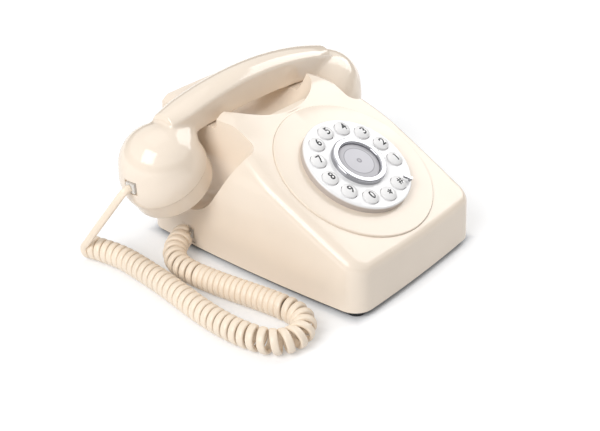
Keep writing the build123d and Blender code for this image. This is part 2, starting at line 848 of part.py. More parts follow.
jack_face_y = rear_at(line_jack_x, jack_z) - jack_set_back
with BuildPart() as line_jack:
    with BuildSketch(Plane.XZ.offset(-jack_face_y)):
        with Locations((line_jack_x, jack_z)):
            Rectangle(jack_size, jack_size)
    extrude(amount=jack_length)
    with BuildSketch(Plane.XZ.offset(-jack_face_y)):
        with Locations((line_jack_x, jack_z)):
            Rectangle(line_socket_width, line_socket_height)
    extrude(amount=line_socket_depth, mode=Mode.SUBTRACT)
keep(line_jack, "line_jack")

# Handset body: an arched handle that flares into a round hollow end at each side
socket_face_x = socket_set_back - dome_x - dome_radius


def handle_section(outer, inner, width, ridge_radius, bottom_radius):
    """Section across the handset between its outer and its inner side, each given as x and z."""
    rise = Vector(outer[0] - inner[0], 0, outer[1] - inner[1])
    ridge = handle_ridge_share * rise.length
    foot = handle_bottom_share * width / 2
    plane = Plane((inner[0], cradle_y, inner[1]), x_dir=(0, 1, 0), z_dir=(rise.Z, 0, -rise.X))
    with BuildSketch(plane) as section:
        with BuildLine():
            Polyline((-width / 2, ridge), (-foot, 0), (foot, 0), (width / 2, ridge))
            ThreePointArc((width / 2, ridge), (0, rise.length), (-width / 2, ridge))
        make_face()
        fillet(section.vertices().group_by(Axis.Y)[0], bottom_radius)
        fillet(section.vertices().group_by(Axis.Y)[-1], ridge_radius)
    return section.sketch


def flare_section(side, station):
    """Section of one flared end, from a row of the table of stations."""
    outer, inner, width, ridge_radius, bottom_radius = station
    return handle_section(
        (side * (dome_x + outer[0]), dome_z + outer[1]),
        (side * (dome_x + inner[0]), dome_z + inner[1]),
        width,
        ridge_radius,
        bottom_radius,
    )


def arch_section(x):
    """Section of the arched handle at a distance x from the middle."""
    lean = handle_height * x / bottom_arch
    top = handle_top(x + lean)
    return handle_section(
        (x + lean, top), (x, handle_bottom(x)), handle_width, handle_ridge_radius, handle_bottom_radius
    )


arch_shares = (-1, -0.5, 0, 0.5, 1)
with BuildPart() as handset_body:
    loft(
        [flare_section(-1, station) for station in reversed(flare_stations)]
        + [arch_section(share * handle_straight) for share in arch_shares]
        + [flare_section(1, station) for station in flare_stations]
    )
    for side in (-1, 1):
        with Locations(end_plane(side).location):
            Sphere(dome_radius, arc_size1=0, align=(Align.CENTER, Align.CENTER, Align.MIN))
    for side in (-1, 1):
        with Locations(end_plane(side).location):
            Cylinder(
                chamber_radius,
                chamber_depth,
                align=(Align.CENTER, Align.CENTER, Align.MIN),
                mode=Mode.SUBTRACT,
            )
    with BuildSketch(Plane.YZ.offset(socket_face_x - 2 * socket_set_back)):
        with Locations((cradle_y, dome_z)):
            Rectangle(socket_width + 2 * fit_gap, socket_height + 2 * fit_gap)
    extrude(amount=socket_length + 2 * socket_set_back, mode=Mode.SUBTRACT)
keep(handset_body, "handset_body")

# Caps with sound holes that close the two ends, and the capsules that they hold
cap_radius = dome_radius - cap_step
cap_floor = cap_wall - cap_height
crown_radius = (cap_end_radius**2 + cap_crown**2) / (2 * cap_crown)
for side, cap_name, capsule_name in (
    (-1, "mouthpiece_cap", "microphone_capsule"),
    (1, "earpiece_cap", "receiver_capsule"),
):
    seam = end_plane(side)
    with BuildPart() as cap:
        with BuildSketch(Plane(seam.origin, x_dir=seam.x_dir, z_dir=-seam.y_dir)):
            with BuildLine():
                Polyline(
                    (0, -cap_height - cap_crown),
                    (0, cap_floor),
                    (capsule_radius + fit_gap, cap_floor),
                    (cap_radius - 2 * cap_wall, 0),
                    (cap_radius, 0),
                    (cap_end_radius, -cap_height),
                )
                RadiusArc((cap_end_radius, -cap_height), (0, -cap_height - cap_crown), crown_radius)
            make_face()
        revolve(axis=Axis(tuple(seam.origin), tuple(seam.z_dir)))
        skirt_edge = cap.edges().filter_by(GeomType.CIRCLE).sort_by(
            lambda e: seam.to_local_coords(e.arc_center).Z - e.radius
        )[0]
        fillet(skirt_edge, cap_wall)
        with BuildSketch(seam):
            Circle(sound_hole_diameter / 2)
            for ring_radius, count in zip(sound_ring_radii, sound_ring_counts):
                with PolarLocations(ring_radius, count):
                    Circle(sound_hole_diameter / 2)
        extrude(amount=-cap_height - 2 * cap_crown, mode=Mode.SUBTRACT)
    keep(cap, cap_name)

    with BuildPart() as capsule:
        with BuildSketch(seam.offset(cap_floor)):
            Circle(capsule_radius)
        extrude(amount=capsule_height)
        fillet(capsule.edges().filter_by(GeomType.CIRCLE), capsule_height / 8)
    keep(capsule, capsule_name)

# Socket in the left end of the handset
with BuildPart() as handset_socket:
    with BuildSketch(Plane.YZ.offset(socket_face_x)):
        with Locations((cradle_y, dome_z)):
            Rectangle(socket_width, socket_height)
    extrude(amount=socket_length)
    with BuildSketch(Plane.YZ.offset(socket_face_x)):
        with Locations((cradle_y, dome_z)):
            Rectangle(plug_width + 2 * plug_gap, plug_height + 2 * plug_gap)
    extrude(amount=socket_length, mode=Mode.SUBTRACT)
keep(handset_socket, "handset_socket")

# Plugs on the two ends of the cord
handset_plug_x = -dome_x - dome_radius - plug_clear
with BuildPart() as cord_plug_handset:
    with BuildSketch(Plane.YZ.offset(handset_plug_x)):
        with Locations((cradle_y, dome_z)):
            Rectangle(plug_width, plug_height)
    extrude(amount=plug_length)
keep(cord_plug_handset, "cord_plug_handset")

base_plug_x = jack_face_x - plug_proud
with BuildPart() as cord_plug_base:
    with BuildSketch(Plane.YZ.offset(base_plug_x)):
        with Locations((handset_jack_y, jack_z)):
            Rectangle(plug_width, plug_height)
    extrude(amount=plug_length)
keep(cord_plug_base, "cord_plug_base")

# Curly cord: one unbroken wire from plug to plug, curled round an axis that lies on the table
curl_radius = (coil_outer_diameter - wire_diameter) / 2
axis_z = coil_outer_diameter / 2 + coil_floor_gap
bend_share = 0.45


def corner_radii(points):
    """Largest arc for each corner of a route, from its shorter run and its turn."""
    places = [Vector(*p) for p in points]
    radii = []
    for before, at, after in zip(places, places[1:], places[2:]):
        turn = radians((at - before).get_angle(after - at))
        run = min((at - before).length, (after - at).length)
        radii.append(bend_share * run / tan(turn / 2))
    return radii


axis_points = [(x, y, axis_z) for x, y in coil_axis]
axis_radii = corner_radii(axis_points)
lead_route = [(handset_plug_x, cradle_y, dome_z), *lead_points, lead_end]
lead_radii = corner_radii(lead_route)
print("coil axis radii", [round(r, 1) for r in axis_radii])
print("lead radii", [round(r, 1) for r in lead_radii])
with BuildLine() as axis_line:
    FilletPolyline(*axis_points, radius=axis_radii)
coil_line = axis_line.wires()[0]
coil_length = coil_line.length


def curl_pitch(along):
    """Distance from curl to curl at a length along the coil's axis."""
    if along < bend_starts_at:
        return pitch_outer
    if along < bend_ends_at:
        return pitch_bend
    if along < coil_length - hook_length:
        return pitch_return
    return pitch_hook


# Curls counted along the axis, stretched to end on the side that faces the jack
axis_steps = 2000
axis_step = coil_length / axis_steps
curl_count = [0.0]
for k in range(axis_steps):
    curl_count.append(curl_count[-1] + axis_step / curl_pitch((k + 0.5) * axis_step))
total_curls = int(curl_count[-1]) + curl_fraction
curl_count = [c * total_curls / curl_count[-1] for c in curl_count]


def curl_point(curls):
    """Point of the wire's middle line after a number of curls."""
    k = min(max(bisect_left(curl_count, curls), 1), axis_steps)
    share = (curls - curl_count[k - 1]) / (curl_count[k] - curl_count[k - 1])
    along = (k - 1 + share) / axis_steps
    right = coil_line.tangent_at(along).cross(Vector(0, 0, 1))
    turn = 2 * pi * curls
    swing = right * (curl_radius * cos(turn)) - Vector(0, 0, curl_radius * sin(turn))
    return coil_line.position_at(along) + swing


def curl_direction(curls):
    """Direction of the wire after a number of curls."""
    nudge = 0.001
    before = max(curls - nudge, 0)
    after = min(curls + nudge, total_curls)
    return (curl_point(after) - curl_point(before)).normalized()


def arc_from(start, direction, end):
    """Middle point and radius of the arc that leaves start along direction and ends at end."""
    chord = end - start
    along = chord.normalized()
    aside = (direction - along * direction.dot(along)).normalized()
    angle = radians(direction.get_angle(chord))
    middle = start + chord * 0.5 + aside * (chord.length / 2 * tan(angle / 2))
    return middle, chord.length / (2 * sin(angle))


def biarc(start, start_direction, end, end_direction):
    """Two tangent arcs from start to end, drawn into the line that is open, as radii."""
    chord = end - start
    both = start_direction + end_direction
    spread = 2 * (1 - start_direction.dot(end_direction))
    reach = (sqrt(chord.dot(both) ** 2 + spread * chord.dot(chord)) - chord.dot(both)) / spread
    joint = (start + end + (start_direction - end_direction) * reach) * 0.5
    first, first_radius = arc_from(start, start_direction, joint)
    second, second_radius = arc_from(end, -end_direction, joint)
    ThreePointArc(start, first, joint)
    ThreePointArc(joint, second, end)
    return first_radius, second_radius


half_turns = int(2 * total_curls)
curl_stops = [k / 2 for k in range(half_turns + 1)] + [total_curls]
stops = [(curl_point(c), curl_direction(c)) for c in curl_stops]
lead_direction = (Vector(*lead_end) - Vector(*lead_points[-1])).normalized()
plug_run = Vector(base_plug_x - 1.2 * wire_diameter, handset_jack_y, jack_z)
stops = [(Vector(*lead_end), lead_direction), *stops, (plug_run, Vector(1, 0, 0))]
wire_radii = []
with BuildLine() as cord_line:
    FilletPolyline(*lead_route, radius=lead_radii)
    for (start, start_direction), (end, end_direction) in zip(stops, stops[1:]):
        wire_radii.extend(biarc(start, start_direction, end, end_direction))
    Line(plug_run, (base_plug_x, handset_jack_y, jack_z))
cord_wire = cord_line.wires()[0]
print("tightest bend of the wire", round(min(wire_radii), 2))

with BuildPart() as handset_cord:
    with BuildSketch(Plane((handset_plug_x, cradle_y, dome_z), x_dir=(0, 1, 0), z_dir=(-1, 0, 0))):
        Circle(wire_diameter / 2)
    sweep(path=cord_wire)
keep(handset_cord, "handset_cord")

# The wire's volume against section times length, and its least gap to itself
section_area = pi * wire_diameter**2 / 4
print("cord length", round(cord_wire.length, 1))
print("cord volume", round(handset_cord.part.volume, 1), "of", round(section_area * cord_wire.length, 1))
points_per_curl = 24
sample_curls = [k / points_per_curl for k in range(int(total_curls * points_per_curl))]
samples = [curl_point(c) for c in sample_curls]
least_gap = min(
    (samples[k] - other).length - wire_diameter
    for k in range(len(samples))
    for other in samples[k + points_per_curl // 2 : k + 2 * points_per_curl]
)
print("curls", total_curls, "least gap of the cord to itself", round(least_gap, 2))
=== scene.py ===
"""Looks of a desk telephone with push buttons set out like a dial, standing on a white studio floor.

Metres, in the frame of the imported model: the origin is on the table under the middle of the case,
+X is the telephone's right, -Y faces the person who dials and +Z is up.
"""

import logging
import math
from collections.abc import Iterable, Sequence
from dataclasses import dataclass, field
from enum import Enum

import bmesh
import bpy
import numpy as np
from mathutils import Matrix, Vector


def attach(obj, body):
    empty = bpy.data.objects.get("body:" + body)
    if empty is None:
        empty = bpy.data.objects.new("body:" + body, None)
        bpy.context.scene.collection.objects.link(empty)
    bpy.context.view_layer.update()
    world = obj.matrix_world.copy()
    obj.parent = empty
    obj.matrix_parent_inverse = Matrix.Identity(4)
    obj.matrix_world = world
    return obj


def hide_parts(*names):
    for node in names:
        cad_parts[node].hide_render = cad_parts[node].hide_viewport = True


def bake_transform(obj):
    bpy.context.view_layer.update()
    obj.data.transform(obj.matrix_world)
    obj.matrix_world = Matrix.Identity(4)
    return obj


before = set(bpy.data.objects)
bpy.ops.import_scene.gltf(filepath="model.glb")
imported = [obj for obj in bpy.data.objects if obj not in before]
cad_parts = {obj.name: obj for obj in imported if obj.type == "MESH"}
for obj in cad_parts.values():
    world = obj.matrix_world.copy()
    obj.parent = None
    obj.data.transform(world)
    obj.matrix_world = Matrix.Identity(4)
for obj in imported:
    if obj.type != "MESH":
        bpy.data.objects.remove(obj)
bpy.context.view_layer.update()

log = logging.getLogger("telephone")

Colour = tuple[float, float, float]
Point = tuple[float, float, float]
Socket = bpy.types.NodeSocket
MM = 0.001
DIAL_CENTRE: Point = (0.0, -0.03798, 0.06344)
DIAL_SLOPE = math.radians(27.7)


class Body(str, Enum):
    """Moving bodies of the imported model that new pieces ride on."""

    BASE = "base"
    HANDSET = "handset"


class Slot(str, Enum):
    """Names of three material slots, which no piece in this script uses."""

    HANDSET = "handset_cream"
    CORD = "cord_cream"
    BLACK = "component_black"


def scaled(colour: Colour, share: float) -> Colour:
    """Return a colour made lighter or darker by a share."""
    return tuple(min(channel * share, 1.0) for channel in colour)


class Recipe:
    """Node material under construction, with the few patterns that the finishes need."""

    def __init__(self, name: str) -> None:
        """Start a material that holds one plain surface shader.

        Args:
            name: Name of the material.
        """
        self.material = bpy.data.materials.new(name)
        self.material.use_nodes = True
        self.nodes = self.material.node_tree.nodes
        self.links = self.material.node_tree.links
        self.shader = self.nodes["Principled BSDF"]

    def set(self, **values: float | Colour) -> None:
        """Set constant values on the shader's own sockets.

        Args:
            values: Socket names with underscores for spaces, and their values.
        """
        for key, value in values.items():
            socket = self.shader.inputs[key.replace("_", " ")]
            socket.default_value = (*value, 1.0) if isinstance(value, tuple) else value

    def add(self, kind: str, inputs: dict[str, object] | None = None, **settings: object) -> bpy.types.Node:
        """Add a node.

        Args:
            kind: Blender's name of the node type.
            inputs: Values or sockets for the node's inputs.
            settings: Properties of the node itself.

        Returns:
            The new node.
        """
        node = self.nodes.new(kind)
        for key, value in settings.items():
            setattr(node, key, value)
        for key, value in (inputs or {}).items():
            self.feed(value, node.inputs[key])
        return node

    def feed(self, value: object, target: Socket) -> None:
        """Link a socket to a target, or set the target's value."""
        if isinstance(value, bpy.types.NodeSocket):
            self.links.new(value, target)
        else:
            target.default_value = value

    def place(self) -> Socket:
        """Return the position on the piece, in metres."""
        return self.add("ShaderNodeTexCoord").outputs["Object"]

    def noise(self, scale: float, detail: float = 2.0) -> Socket:
        """Return a cloudy pattern.

        Args:
            scale: Cells in each metre.
            detail: Finer layers on top of the first.

        Returns:
            The pattern, from about 0.3 to 0.7.
        """
        inputs = {"Vector": self.place(), "Scale": scale, "Detail": detail}
        return self.add("ShaderNodeTexNoise", inputs).outputs["Fac"]

    def spread(self, pattern: Socket, low: float, high: float) -> Socket:
        """Return a cloudy pattern spread over a range of values."""
        inputs = {"Value": pattern, "From Min": 0.3, "From Max": 0.7, "To Min": low, "To Max": high}
        return self.add("ShaderNodeMapRange", inputs).outputs["Result"]

    def ramp(self, pattern: Socket, stops: Sequence[tuple[float, Colour]]) -> Socket:
        """Return colours picked by a pattern along a ramp.

        Args:
            pattern: Values from 0 to 1.
            stops: Places on the ramp and their colours.

        Returns:
            The colour socket.
        """
        node = self.add("ShaderNodeValToRGB", {"Fac": pattern})
        elements = node.color_ramp.elements
        while len(elements) < len(stops):
            elements.new(0.5)
        for element, (place, colour) in zip(elements, stops):
            element.position = place
            element.color = (*colour, 1.0)
        return node.outputs["Color"]

    def drift(self, colour: Colour, share: float, scale: float) -> None:
        """Let the base colour wander a little over the surface.

        Args:
            colour: The middle colour.
            share: How far it wanders to each side.
            scale: Patches in each metre.
        """
        stops = [(0.3, scaled(colour, 1 - share)), (0.7, scaled(colour, 1 + share))]
        self.feed(self.ramp(self.noise(scale, 3.0), stops), self.shader.inputs["Base Color"])

    def rough(self, low: float, high: float, scale: float) -> None:
        """Let the roughness wander between two values."""
        self.feed(self.spread(self.noise(scale, 4.0), low, high), self.shader.inputs["Roughness"])

    def relief(self, height: Socket, depth: float) -> None:
        """Raise the surface by a pattern.

        Args:
            height: The pattern.
            depth: Its height in metres.
        """
        node = self.add("ShaderNodeBump", {"Height": height, "Distance": depth, "Strength": 1.0})
        self.feed(node.outputs["Normal"], self.shader.inputs["Normal"])


@dataclass(frozen=True)
class Surface:
    """Finish whose colour, gloss and fine relief wander a little over the surface."""

    name: str
    colour: Colour
    gloss: tuple[float, float] = (0.16, 0.24)
    drift: float = 0.02
    patches: float = 22.0
    haze: float = 260.0
    grain: float = 1400.0
    grain_detail: float = 1.0
    grain_depth: float = 8e-6

    def constants(self) -> dict[str, float]:
        """Return the shader's constant values."""
        return {}

    def material(self) -> bpy.types.Material:
        """Return the finish as a new material."""
        recipe = Recipe(self.name)
        recipe.set(**self.constants())
        recipe.drift(self.colour, self.drift, self.patches)
        recipe.rough(*self.gloss, self.haze)
        recipe.relief(recipe.noise(self.grain, self.grain_detail), self.grain_depth)
        return recipe.material


@dataclass(frozen=True)
class MouldedPlastic(Surface):
    """Glossy plastic from a polished mould."""

    ior: float = 1.5

    def constants(self) -> dict[str, float]:
        """Return the shader's constant values."""
        return {"IOR": self.ior}


@dataclass(frozen=True)
class ClearPlastic(Surface):
    """Clear plastic of a plug or a plunger."""

    gloss: tuple[float, float] = (0.04, 0.12)
    drift: float = 0.03
    patches: float = 90.0
    haze: float = 500.0
    grain: float = 900.0
    grain_detail: float = 2.0
    grain_depth: float = 1e-5
    clearness: float = 0.8
    ior: float = 1.49

    def constants(self) -> dict[str, float]:
        """Return the shader's constant values."""
        return {"IOR": self.ior, "Transmission_Weight": self.clearness}


@dataclass(frozen=True)
class Metal(Surface):
    """Plated, drawn or rolled metal."""

    drift: float = 0.03
    patches: float = 120.0
    haze: float = 600.0
    grain: float = 700.0
    grain_detail: float = 3.0
    grain_depth: float = 2e-6

    def constants(self) -> dict[str, float]:
        """Return the shader's constant values."""
        return {"Metallic": 1.0}


@dataclass(frozen=True)
class MattCoat(Surface):
    """Rubber, paint, ink or moulding compound with a fine matt grain."""

    gloss: tuple[float, float] = (0.45, 0.65)
    drift: float = 0.12
    patches: float = 150.0
    haze: float = 700.0
    grain: float = 2600.0
    grain_detail: float = 3.0
    grain_depth: float = 3e-5


@dataclass(frozen=True)
class WoundCopper:
    """Enamelled copper wire wound layer on layer round an upright core."""

    name: str
    colour: Colour
    turns: float = 900.0

    def material(self) -> bpy.types.Material:
        """Return the finish as a new material."""
        recipe = Recipe(self.name)
        recipe.set(Metallic=1.0)
        waves = recipe.add(
            "ShaderNodeTexWave",
            {"Vector": recipe.place(), "Scale": self.turns / 3, "Distortion": 0.6, "Detail": 1.0},
            bands_direction="Z",
        ).outputs["Fac"]
        # Painted shade: the colour darkens in the wave's troughs, between the turns of wire.
        stops = [(0.0, scaled(self.colour, 0.45)), (0.6, self.colour)]
        recipe.feed(recipe.ramp(waves, stops), recipe.shader.inputs["Base Color"])
        recipe.rough(0.22, 0.4, 500.0)
        recipe.relief(waves, 1e-4)
        return recipe.material


@dataclass(frozen=True)
class CircuitBoard:
    """Green board with lighter copper tracks under its mask."""

    name: str
    mask: Colour
    track: Colour

    def material(self) -> bpy.types.Material:
        """Return the finish as a new material."""
        recipe = Recipe(self.name)
        bricks = recipe.add(
            "ShaderNodeTexBrick",
            {"Vector": recipe.place(), "Scale": 120.0, "Mortar Size": 0.035, "Bias": -0.4},
            squash=2.4,
            offset=0.35,
        ).outputs["Fac"]
        stops = [(0.0, self.mask), (1.0, self.track)]
        recipe.feed(recipe.ramp(bricks, stops), recipe.shader.inputs["Base Color"])
        recipe.rough(0.3, 0.42, 300.0)
        recipe.relief(bricks, 2e-5)
        return recipe.material


@dataclass(frozen=True)
class DialPlastic:
    """Polished white disc whose rim and hole walls get painted shade: a warm grey below the face."""

    name: str
    face: Colour
    # Painted shade: warm grey for the rim and the hole walls, which sit in shade.
    wall: Colour
    centre: Point = DIAL_CENTRE
    slope: float = DIAL_SLOPE
    wall_top: tuple[float, float] = (4.6 * MM, 5.9 * MM)
    gloss: tuple[float, float] = (0.16, 0.24)
    grain: float = 1400.0
    grain_depth: float = 6e-6

    def material(self) -> bpy.types.Material:
        """Return the finish as a new material."""
        recipe = Recipe(self.name)
        normal = (0.0, -math.sin(self.slope), math.cos(self.slope))
        away = recipe.add("ShaderNodeVectorMath", {0: recipe.place(), 1: self.centre}, operation="SUBTRACT")
        rise = recipe.add("ShaderNodeVectorMath", {0: away.outputs["Vector"], 1: normal}, operation="DOT_PRODUCT")
        # Below the face, the colour turns to the painted shade of the walls.
        inputs = {"Value": rise.outputs["Value"], "From Min": self.wall_top[0], "From Max": self.wall_top[1]}
        share = recipe.add("ShaderNodeMapRange", inputs).outputs["Result"]
        recipe.feed(recipe.ramp(share, [(0.0, self.wall), (1.0, self.face)]), recipe.shader.inputs["Base Color"])
        recipe.rough(*self.gloss, 260.0)
        recipe.relief(recipe.noise(self.grain, 1.0), self.grain_depth)
        return recipe.material


@dataclass(frozen=True)
class PrintedCard:
    """Satin silver card with plain printed rings round the middle of the dial."""

    name: str
    centre: Point = (0.0, -0.0412, 0.0697)
    silver: Colour = (0.52, 0.51, 0.535)
    pale: Colour = (0.61, 0.60, 0.635)
    line: Colour = (0.30, 0.29, 0.32)
    rings: tuple[float, ...] = (1.5 * MM, 2.2 * MM, 10.6 * MM, 11.1 * MM)
    reach: float = 16.0 * MM
    edge: float = 0.012

    def material(self) -> bpy.types.Material:
        """Return the finish as a new material."""
        recipe = Recipe(self.name)
        recipe.set(Specular_IOR_Level=0.35)
        away = recipe.add("ShaderNodeVectorMath", {0: recipe.place(), 1: self.centre}, operation="DISTANCE")
        share = recipe.add("ShaderNodeMath", {0: away.outputs["Value"], 1: self.reach}, operation="DIVIDE")
        colours = (self.silver, self.line, self.pale, self.line, self.silver)
        stops = [(0.0, colours[0])]
        for radius, before, after in zip(self.rings, colours, colours[1:]):
            place = radius / self.reach
            stops += [(place - self.edge, before), (place + self.edge, after)]
        recipe.feed(recipe.ramp(share.outputs[0], stops), recipe.shader.inputs["Base Color"])
        recipe.rough(0.38, 0.5, 600.0)
        recipe.relief(recipe.noise(900.0, 3.0), 3e-6)
        return recipe.material


class Finishes:
    """Every finish of the telephone, made once and shared by its pieces."""

    cream: Colour = (0.88, 0.765, 0.64)

    def __init__(self) -> None:
        """Make the materials."""
        made = (
            MouldedPlastic("case_plastic", self.cream),
            MouldedPlastic("handset_plastic", self.cream, gloss=(0.07, 0.12)),
            MouldedPlastic("seam_shade", (0.42, 0.32, 0.23), gloss=(0.3, 0.4)),
            MouldedPlastic("cord_plastic", (0.91, 0.78, 0.63), gloss=(0.3, 0.42), drift=0.03, grain=900.0),
            # The dial's second colour is painted shade on its rim and hole walls.
            DialPlastic("dial_plastic", (0.90, 0.895, 0.895), (0.50, 0.44, 0.40)),
            MouldedPlastic("button_plastic", (0.87, 0.86, 0.855), gloss=(0.05, 0.1), drift=0.015),
            MouldedPlastic("nylon", (0.72, 0.70, 0.62), gloss=(0.35, 0.5), drift=0.04),
            ClearPlastic("clear_plastic", (0.93, 0.94, 0.93)),
            ClearPlastic("milky_plastic", (0.93, 0.90, 0.85), clearness=0.25),
            Metal("chrome", (0.40, 0.40, 0.42), (0.03, 0.08), drift=0.01),
            PrintedCard("satin_card"),
            Metal("zinc_steel", (0.6, 0.61, 0.63), (0.28, 0.45), drift=0.1),
            Metal("brass", (0.78, 0.56, 0.24), (0.14, 0.25), drift=0.06),
            MattCoat("foot_rubber", (0.02, 0.02, 0.021)),
            MattCoat("black_paint", (0.018, 0.018, 0.019), gloss=(0.35, 0.5)),
            MattCoat("black_compound", (0.025, 0.025, 0.027), gloss=(0.4, 0.55)),
            MattCoat("silicone", (0.42, 0.42, 0.41), drift=0.05),
            MattCoat("grey_ink", (0.02, 0.02, 0.022), drift=0.15, grain_depth=4e-6),
            WoundCopper("wound_copper", (0.72, 0.33, 0.15)),
            CircuitBoard("circuit_board", (0.012, 0.1, 0.035), (0.05, 0.22, 0.07)),
        )
        self.by_name = {finish.name: finish.material() for finish in made}

    def give(self, piece: bpy.types.Object, name: str) -> None:
        """Put one finish on all of a piece."""
        piece.data.materials.clear()
        piece.data.materials.append(self.by_name[name])


class SmoothShading:
    """Shading for the CAD meshes: round faces run smooth and real edges stay crisp."""

    def __init__(self, crease: float = math.radians(24.0), weld: float = 2e-6) -> None:
        """Make the node group that the modifiers use.

        Args:
            crease: Largest angle between two facets of one round face.
            weld: Distance within which the facets' corners are joined.
        """
        tree = bpy.data.node_groups.new("smooth_round_faces", "GeometryNodeTree")
        tree.interface.new_socket("Geometry", in_out="INPUT", socket_type="NodeSocketGeometry")
        tree.interface.new_socket("Geometry", in_out="OUTPUT", socket_type="NodeSocketGeometry")
        nodes, links = tree.nodes, tree.links
        source = nodes.new("NodeGroupInput")
        merge = nodes.new("GeometryNodeMergeByDistance")
        merge.inputs["Distance"].default_value = weld
        faces = nodes.new("GeometryNodeSetShadeSmooth")
        faces.domain = "FACE"
        edges = nodes.new("GeometryNodeSetShadeSmooth")
        edges.domain = "EDGE"
        edges.inputs["Shade Smooth"].default_value = False
        angle = nodes.new("GeometryNodeInputMeshEdgeAngle")
        sharp = nodes.new("FunctionNodeCompare")
        sharp.operation = "GREATER_THAN"
        sharp.inputs["B"].default_value = crease
        result = nodes.new("NodeGroupOutput")
        chain = (source, merge, faces, edges, result)
        for before, after in zip(chain, chain[1:]):
            links.new(before.outputs["Geometry"], after.inputs["Geometry"])
        links.new(angle.outputs["Unsigned Angle"], sharp.inputs["A"])
        links.new(sharp.outputs["Result"], edges.inputs["Selection"])
        self.tree = tree

    def give(self, piece: bpy.types.Object) -> None:
        """Shade one piece this way."""
        piece.modifiers.new("smooth_round_faces", "NODES").node_group = self.tree


def mesh_piece(
    name: str, points: Iterable[Sequence[float]], faces: Iterable[Sequence[int]], smooth: bool = True
) -> bpy.types.Object:
    """Make a mesh object from points and faces.

    Args:
        name: Name of the piece.
        points: Corners in metres.
        faces: Corner numbers of each face.
        smooth: Whether its faces are shaded smooth.

    Returns:
        The new object.
    """
    mesh = bpy.data.meshes.new(name)
    mesh.from_pydata([tuple(p) for p in points], [], [tuple(f) for f in faces])
    mesh.validate()
    mesh.polygons.foreach_set("use_smooth", [smooth] * len(mesh.polygons))
    mesh.update()
    return placed(name, mesh)


def placed(name: str, data: bpy.types.ID) -> bpy.types.Object:
    """Put a mesh, a lamp or a camera into the scene as a new object."""
    item = bpy.data.objects.new(name, data)
    bpy.context.scene.collection.objects.link(item)
    return item


def tube_faces(rings: int, sides: int) -> list[tuple[int, ...]]:
    """Join rings of points into a tube with closed ends.

    Args:
        rings: Number of rings.
        sides: Points in each ring.

    Returns:
        Corner numbers of each face.
    """
    faces = [
        (k * sides + i, k * sides + (i + 1) % sides, (k + 1) * sides + (i + 1) % sides, (k + 1) * sides + i)
        for k in range(rings - 1)
        for i in range(sides)
    ]
    last = (rings - 1) * sides
    return [*faces, tuple(range(sides))[::-1], tuple(range(last, last + sides))]


def seen_by_camera(tree: bpy.types.NodeTree) -> Socket:
    """Add the test for rays by which the camera sees a surface, in a mirror or through glass too.

    Args:
        tree: Node tree of a material or the world.

    Returns:
        1 for such rays and 0 for the others.
    """
    path = tree.nodes.new("ShaderNodeLightPath").outputs
    seen = path["Is Camera Ray"]
    for name in ("Is Glossy Ray", "Is Transmission Ray"):
        either = tree.nodes.new("ShaderNodeMath")
        either.operation = "MAXIMUM"
        tree.links.new(seen, either.inputs[0])
        tree.links.new(path[name], either.inputs[1])
        seen = either.outputs[0]
    return seen


@dataclass
class StudioCamera:
    """Camera at the photograph's viewing angle."""

    azimuth: float = -50.31
    elevation: float = 29.64
    roll: float = -0.33
    place: Point = (-0.47886, -0.38838, 0.36505)
    lens: float = 60.315
    sensor: float = 36.0

    def build(self) -> None:
        """Make the camera and give it to the scene."""
        azimuth, elevation = math.radians(self.azimuth), math.radians(self.elevation)
        flat = math.cos(elevation)
        back = Vector((math.sin(azimuth) * flat, -math.cos(azimuth) * flat, math.sin(elevation)))
        level = Vector((math.cos(azimuth), math.sin(azimuth), 0.0))
        right = Matrix.Rotation(math.radians(self.roll), 3, back) @ level
        up = back.cross(right)
        data = bpy.data.cameras.new("studio_camera")
        data.sensor_fit = "HORIZONTAL"
        data.sensor_width = self.sensor
        data.lens = self.lens
        data.clip_start = 0.01
        data.clip_end = 20.0
        camera = placed("studio_camera", data)
        camera.matrix_world = Matrix.Translation(self.place) @ Matrix((right, up, back)).transposed().to_4x4()
        bpy.context.scene.camera = camera


@dataclass
class Softbox:
    """One rectangular studio lamp that points at the telephone."""

    name: str
    direction: Point
    distance: float
    size: tuple[float, float]
    radiance: float
    colour: Colour = (1.0, 1.0, 1.0)
    target: Point = (0.0, 0.0, 0.06)

    def build(self) -> None:
        """Make the lamp. Its power follows from its size and radiance."""
        data = bpy.data.lights.new(self.name, "AREA")
        data.shape = "RECTANGLE"
        data.size, data.size_y = self.size
        data.energy = self.radiance * math.pi * self.size[0] * self.size[1]
        data.color = self.colour
        lamp = placed(self.name, data)
        away = Vector(self.direction).normalized()
        lamp.location = Vector(self.target) + away * self.distance
        lamp.rotation_euler = away.to_track_quat("Z", "Y").to_euler()


@dataclass
class DarkBand:
    """Dark band round the studio just above the floor, there for bright metal to mirror."""

    name: str = "dark_band"
    radius: float = 2.0
    low: float = 0.16
    high: float = 0.75
    steps: int = 48

    def build(self) -> None:
        """Make the band and hide it from everything but mirrors."""
        turns = [2 * math.pi * k / self.steps for k in range(self.steps)]
        points = [
            (self.radius * math.cos(t), self.radius * math.sin(t), z) for t in turns for z in (self.low, self.high)
        ]
        count = len(points)
        faces = [(k, k + 1, (k + 3) % count, (k + 2) % count) for k in range(0, count, 2)]
        band = mesh_piece(self.name, points, faces)
        band.visible_camera = band.visible_diffuse = False
        band.visible_shadow = band.visible_transmission = False
        band.data.materials.append(MattCoat(self.name, (0.012, 0.012, 0.013), gloss=(0.8, 0.95)).material())


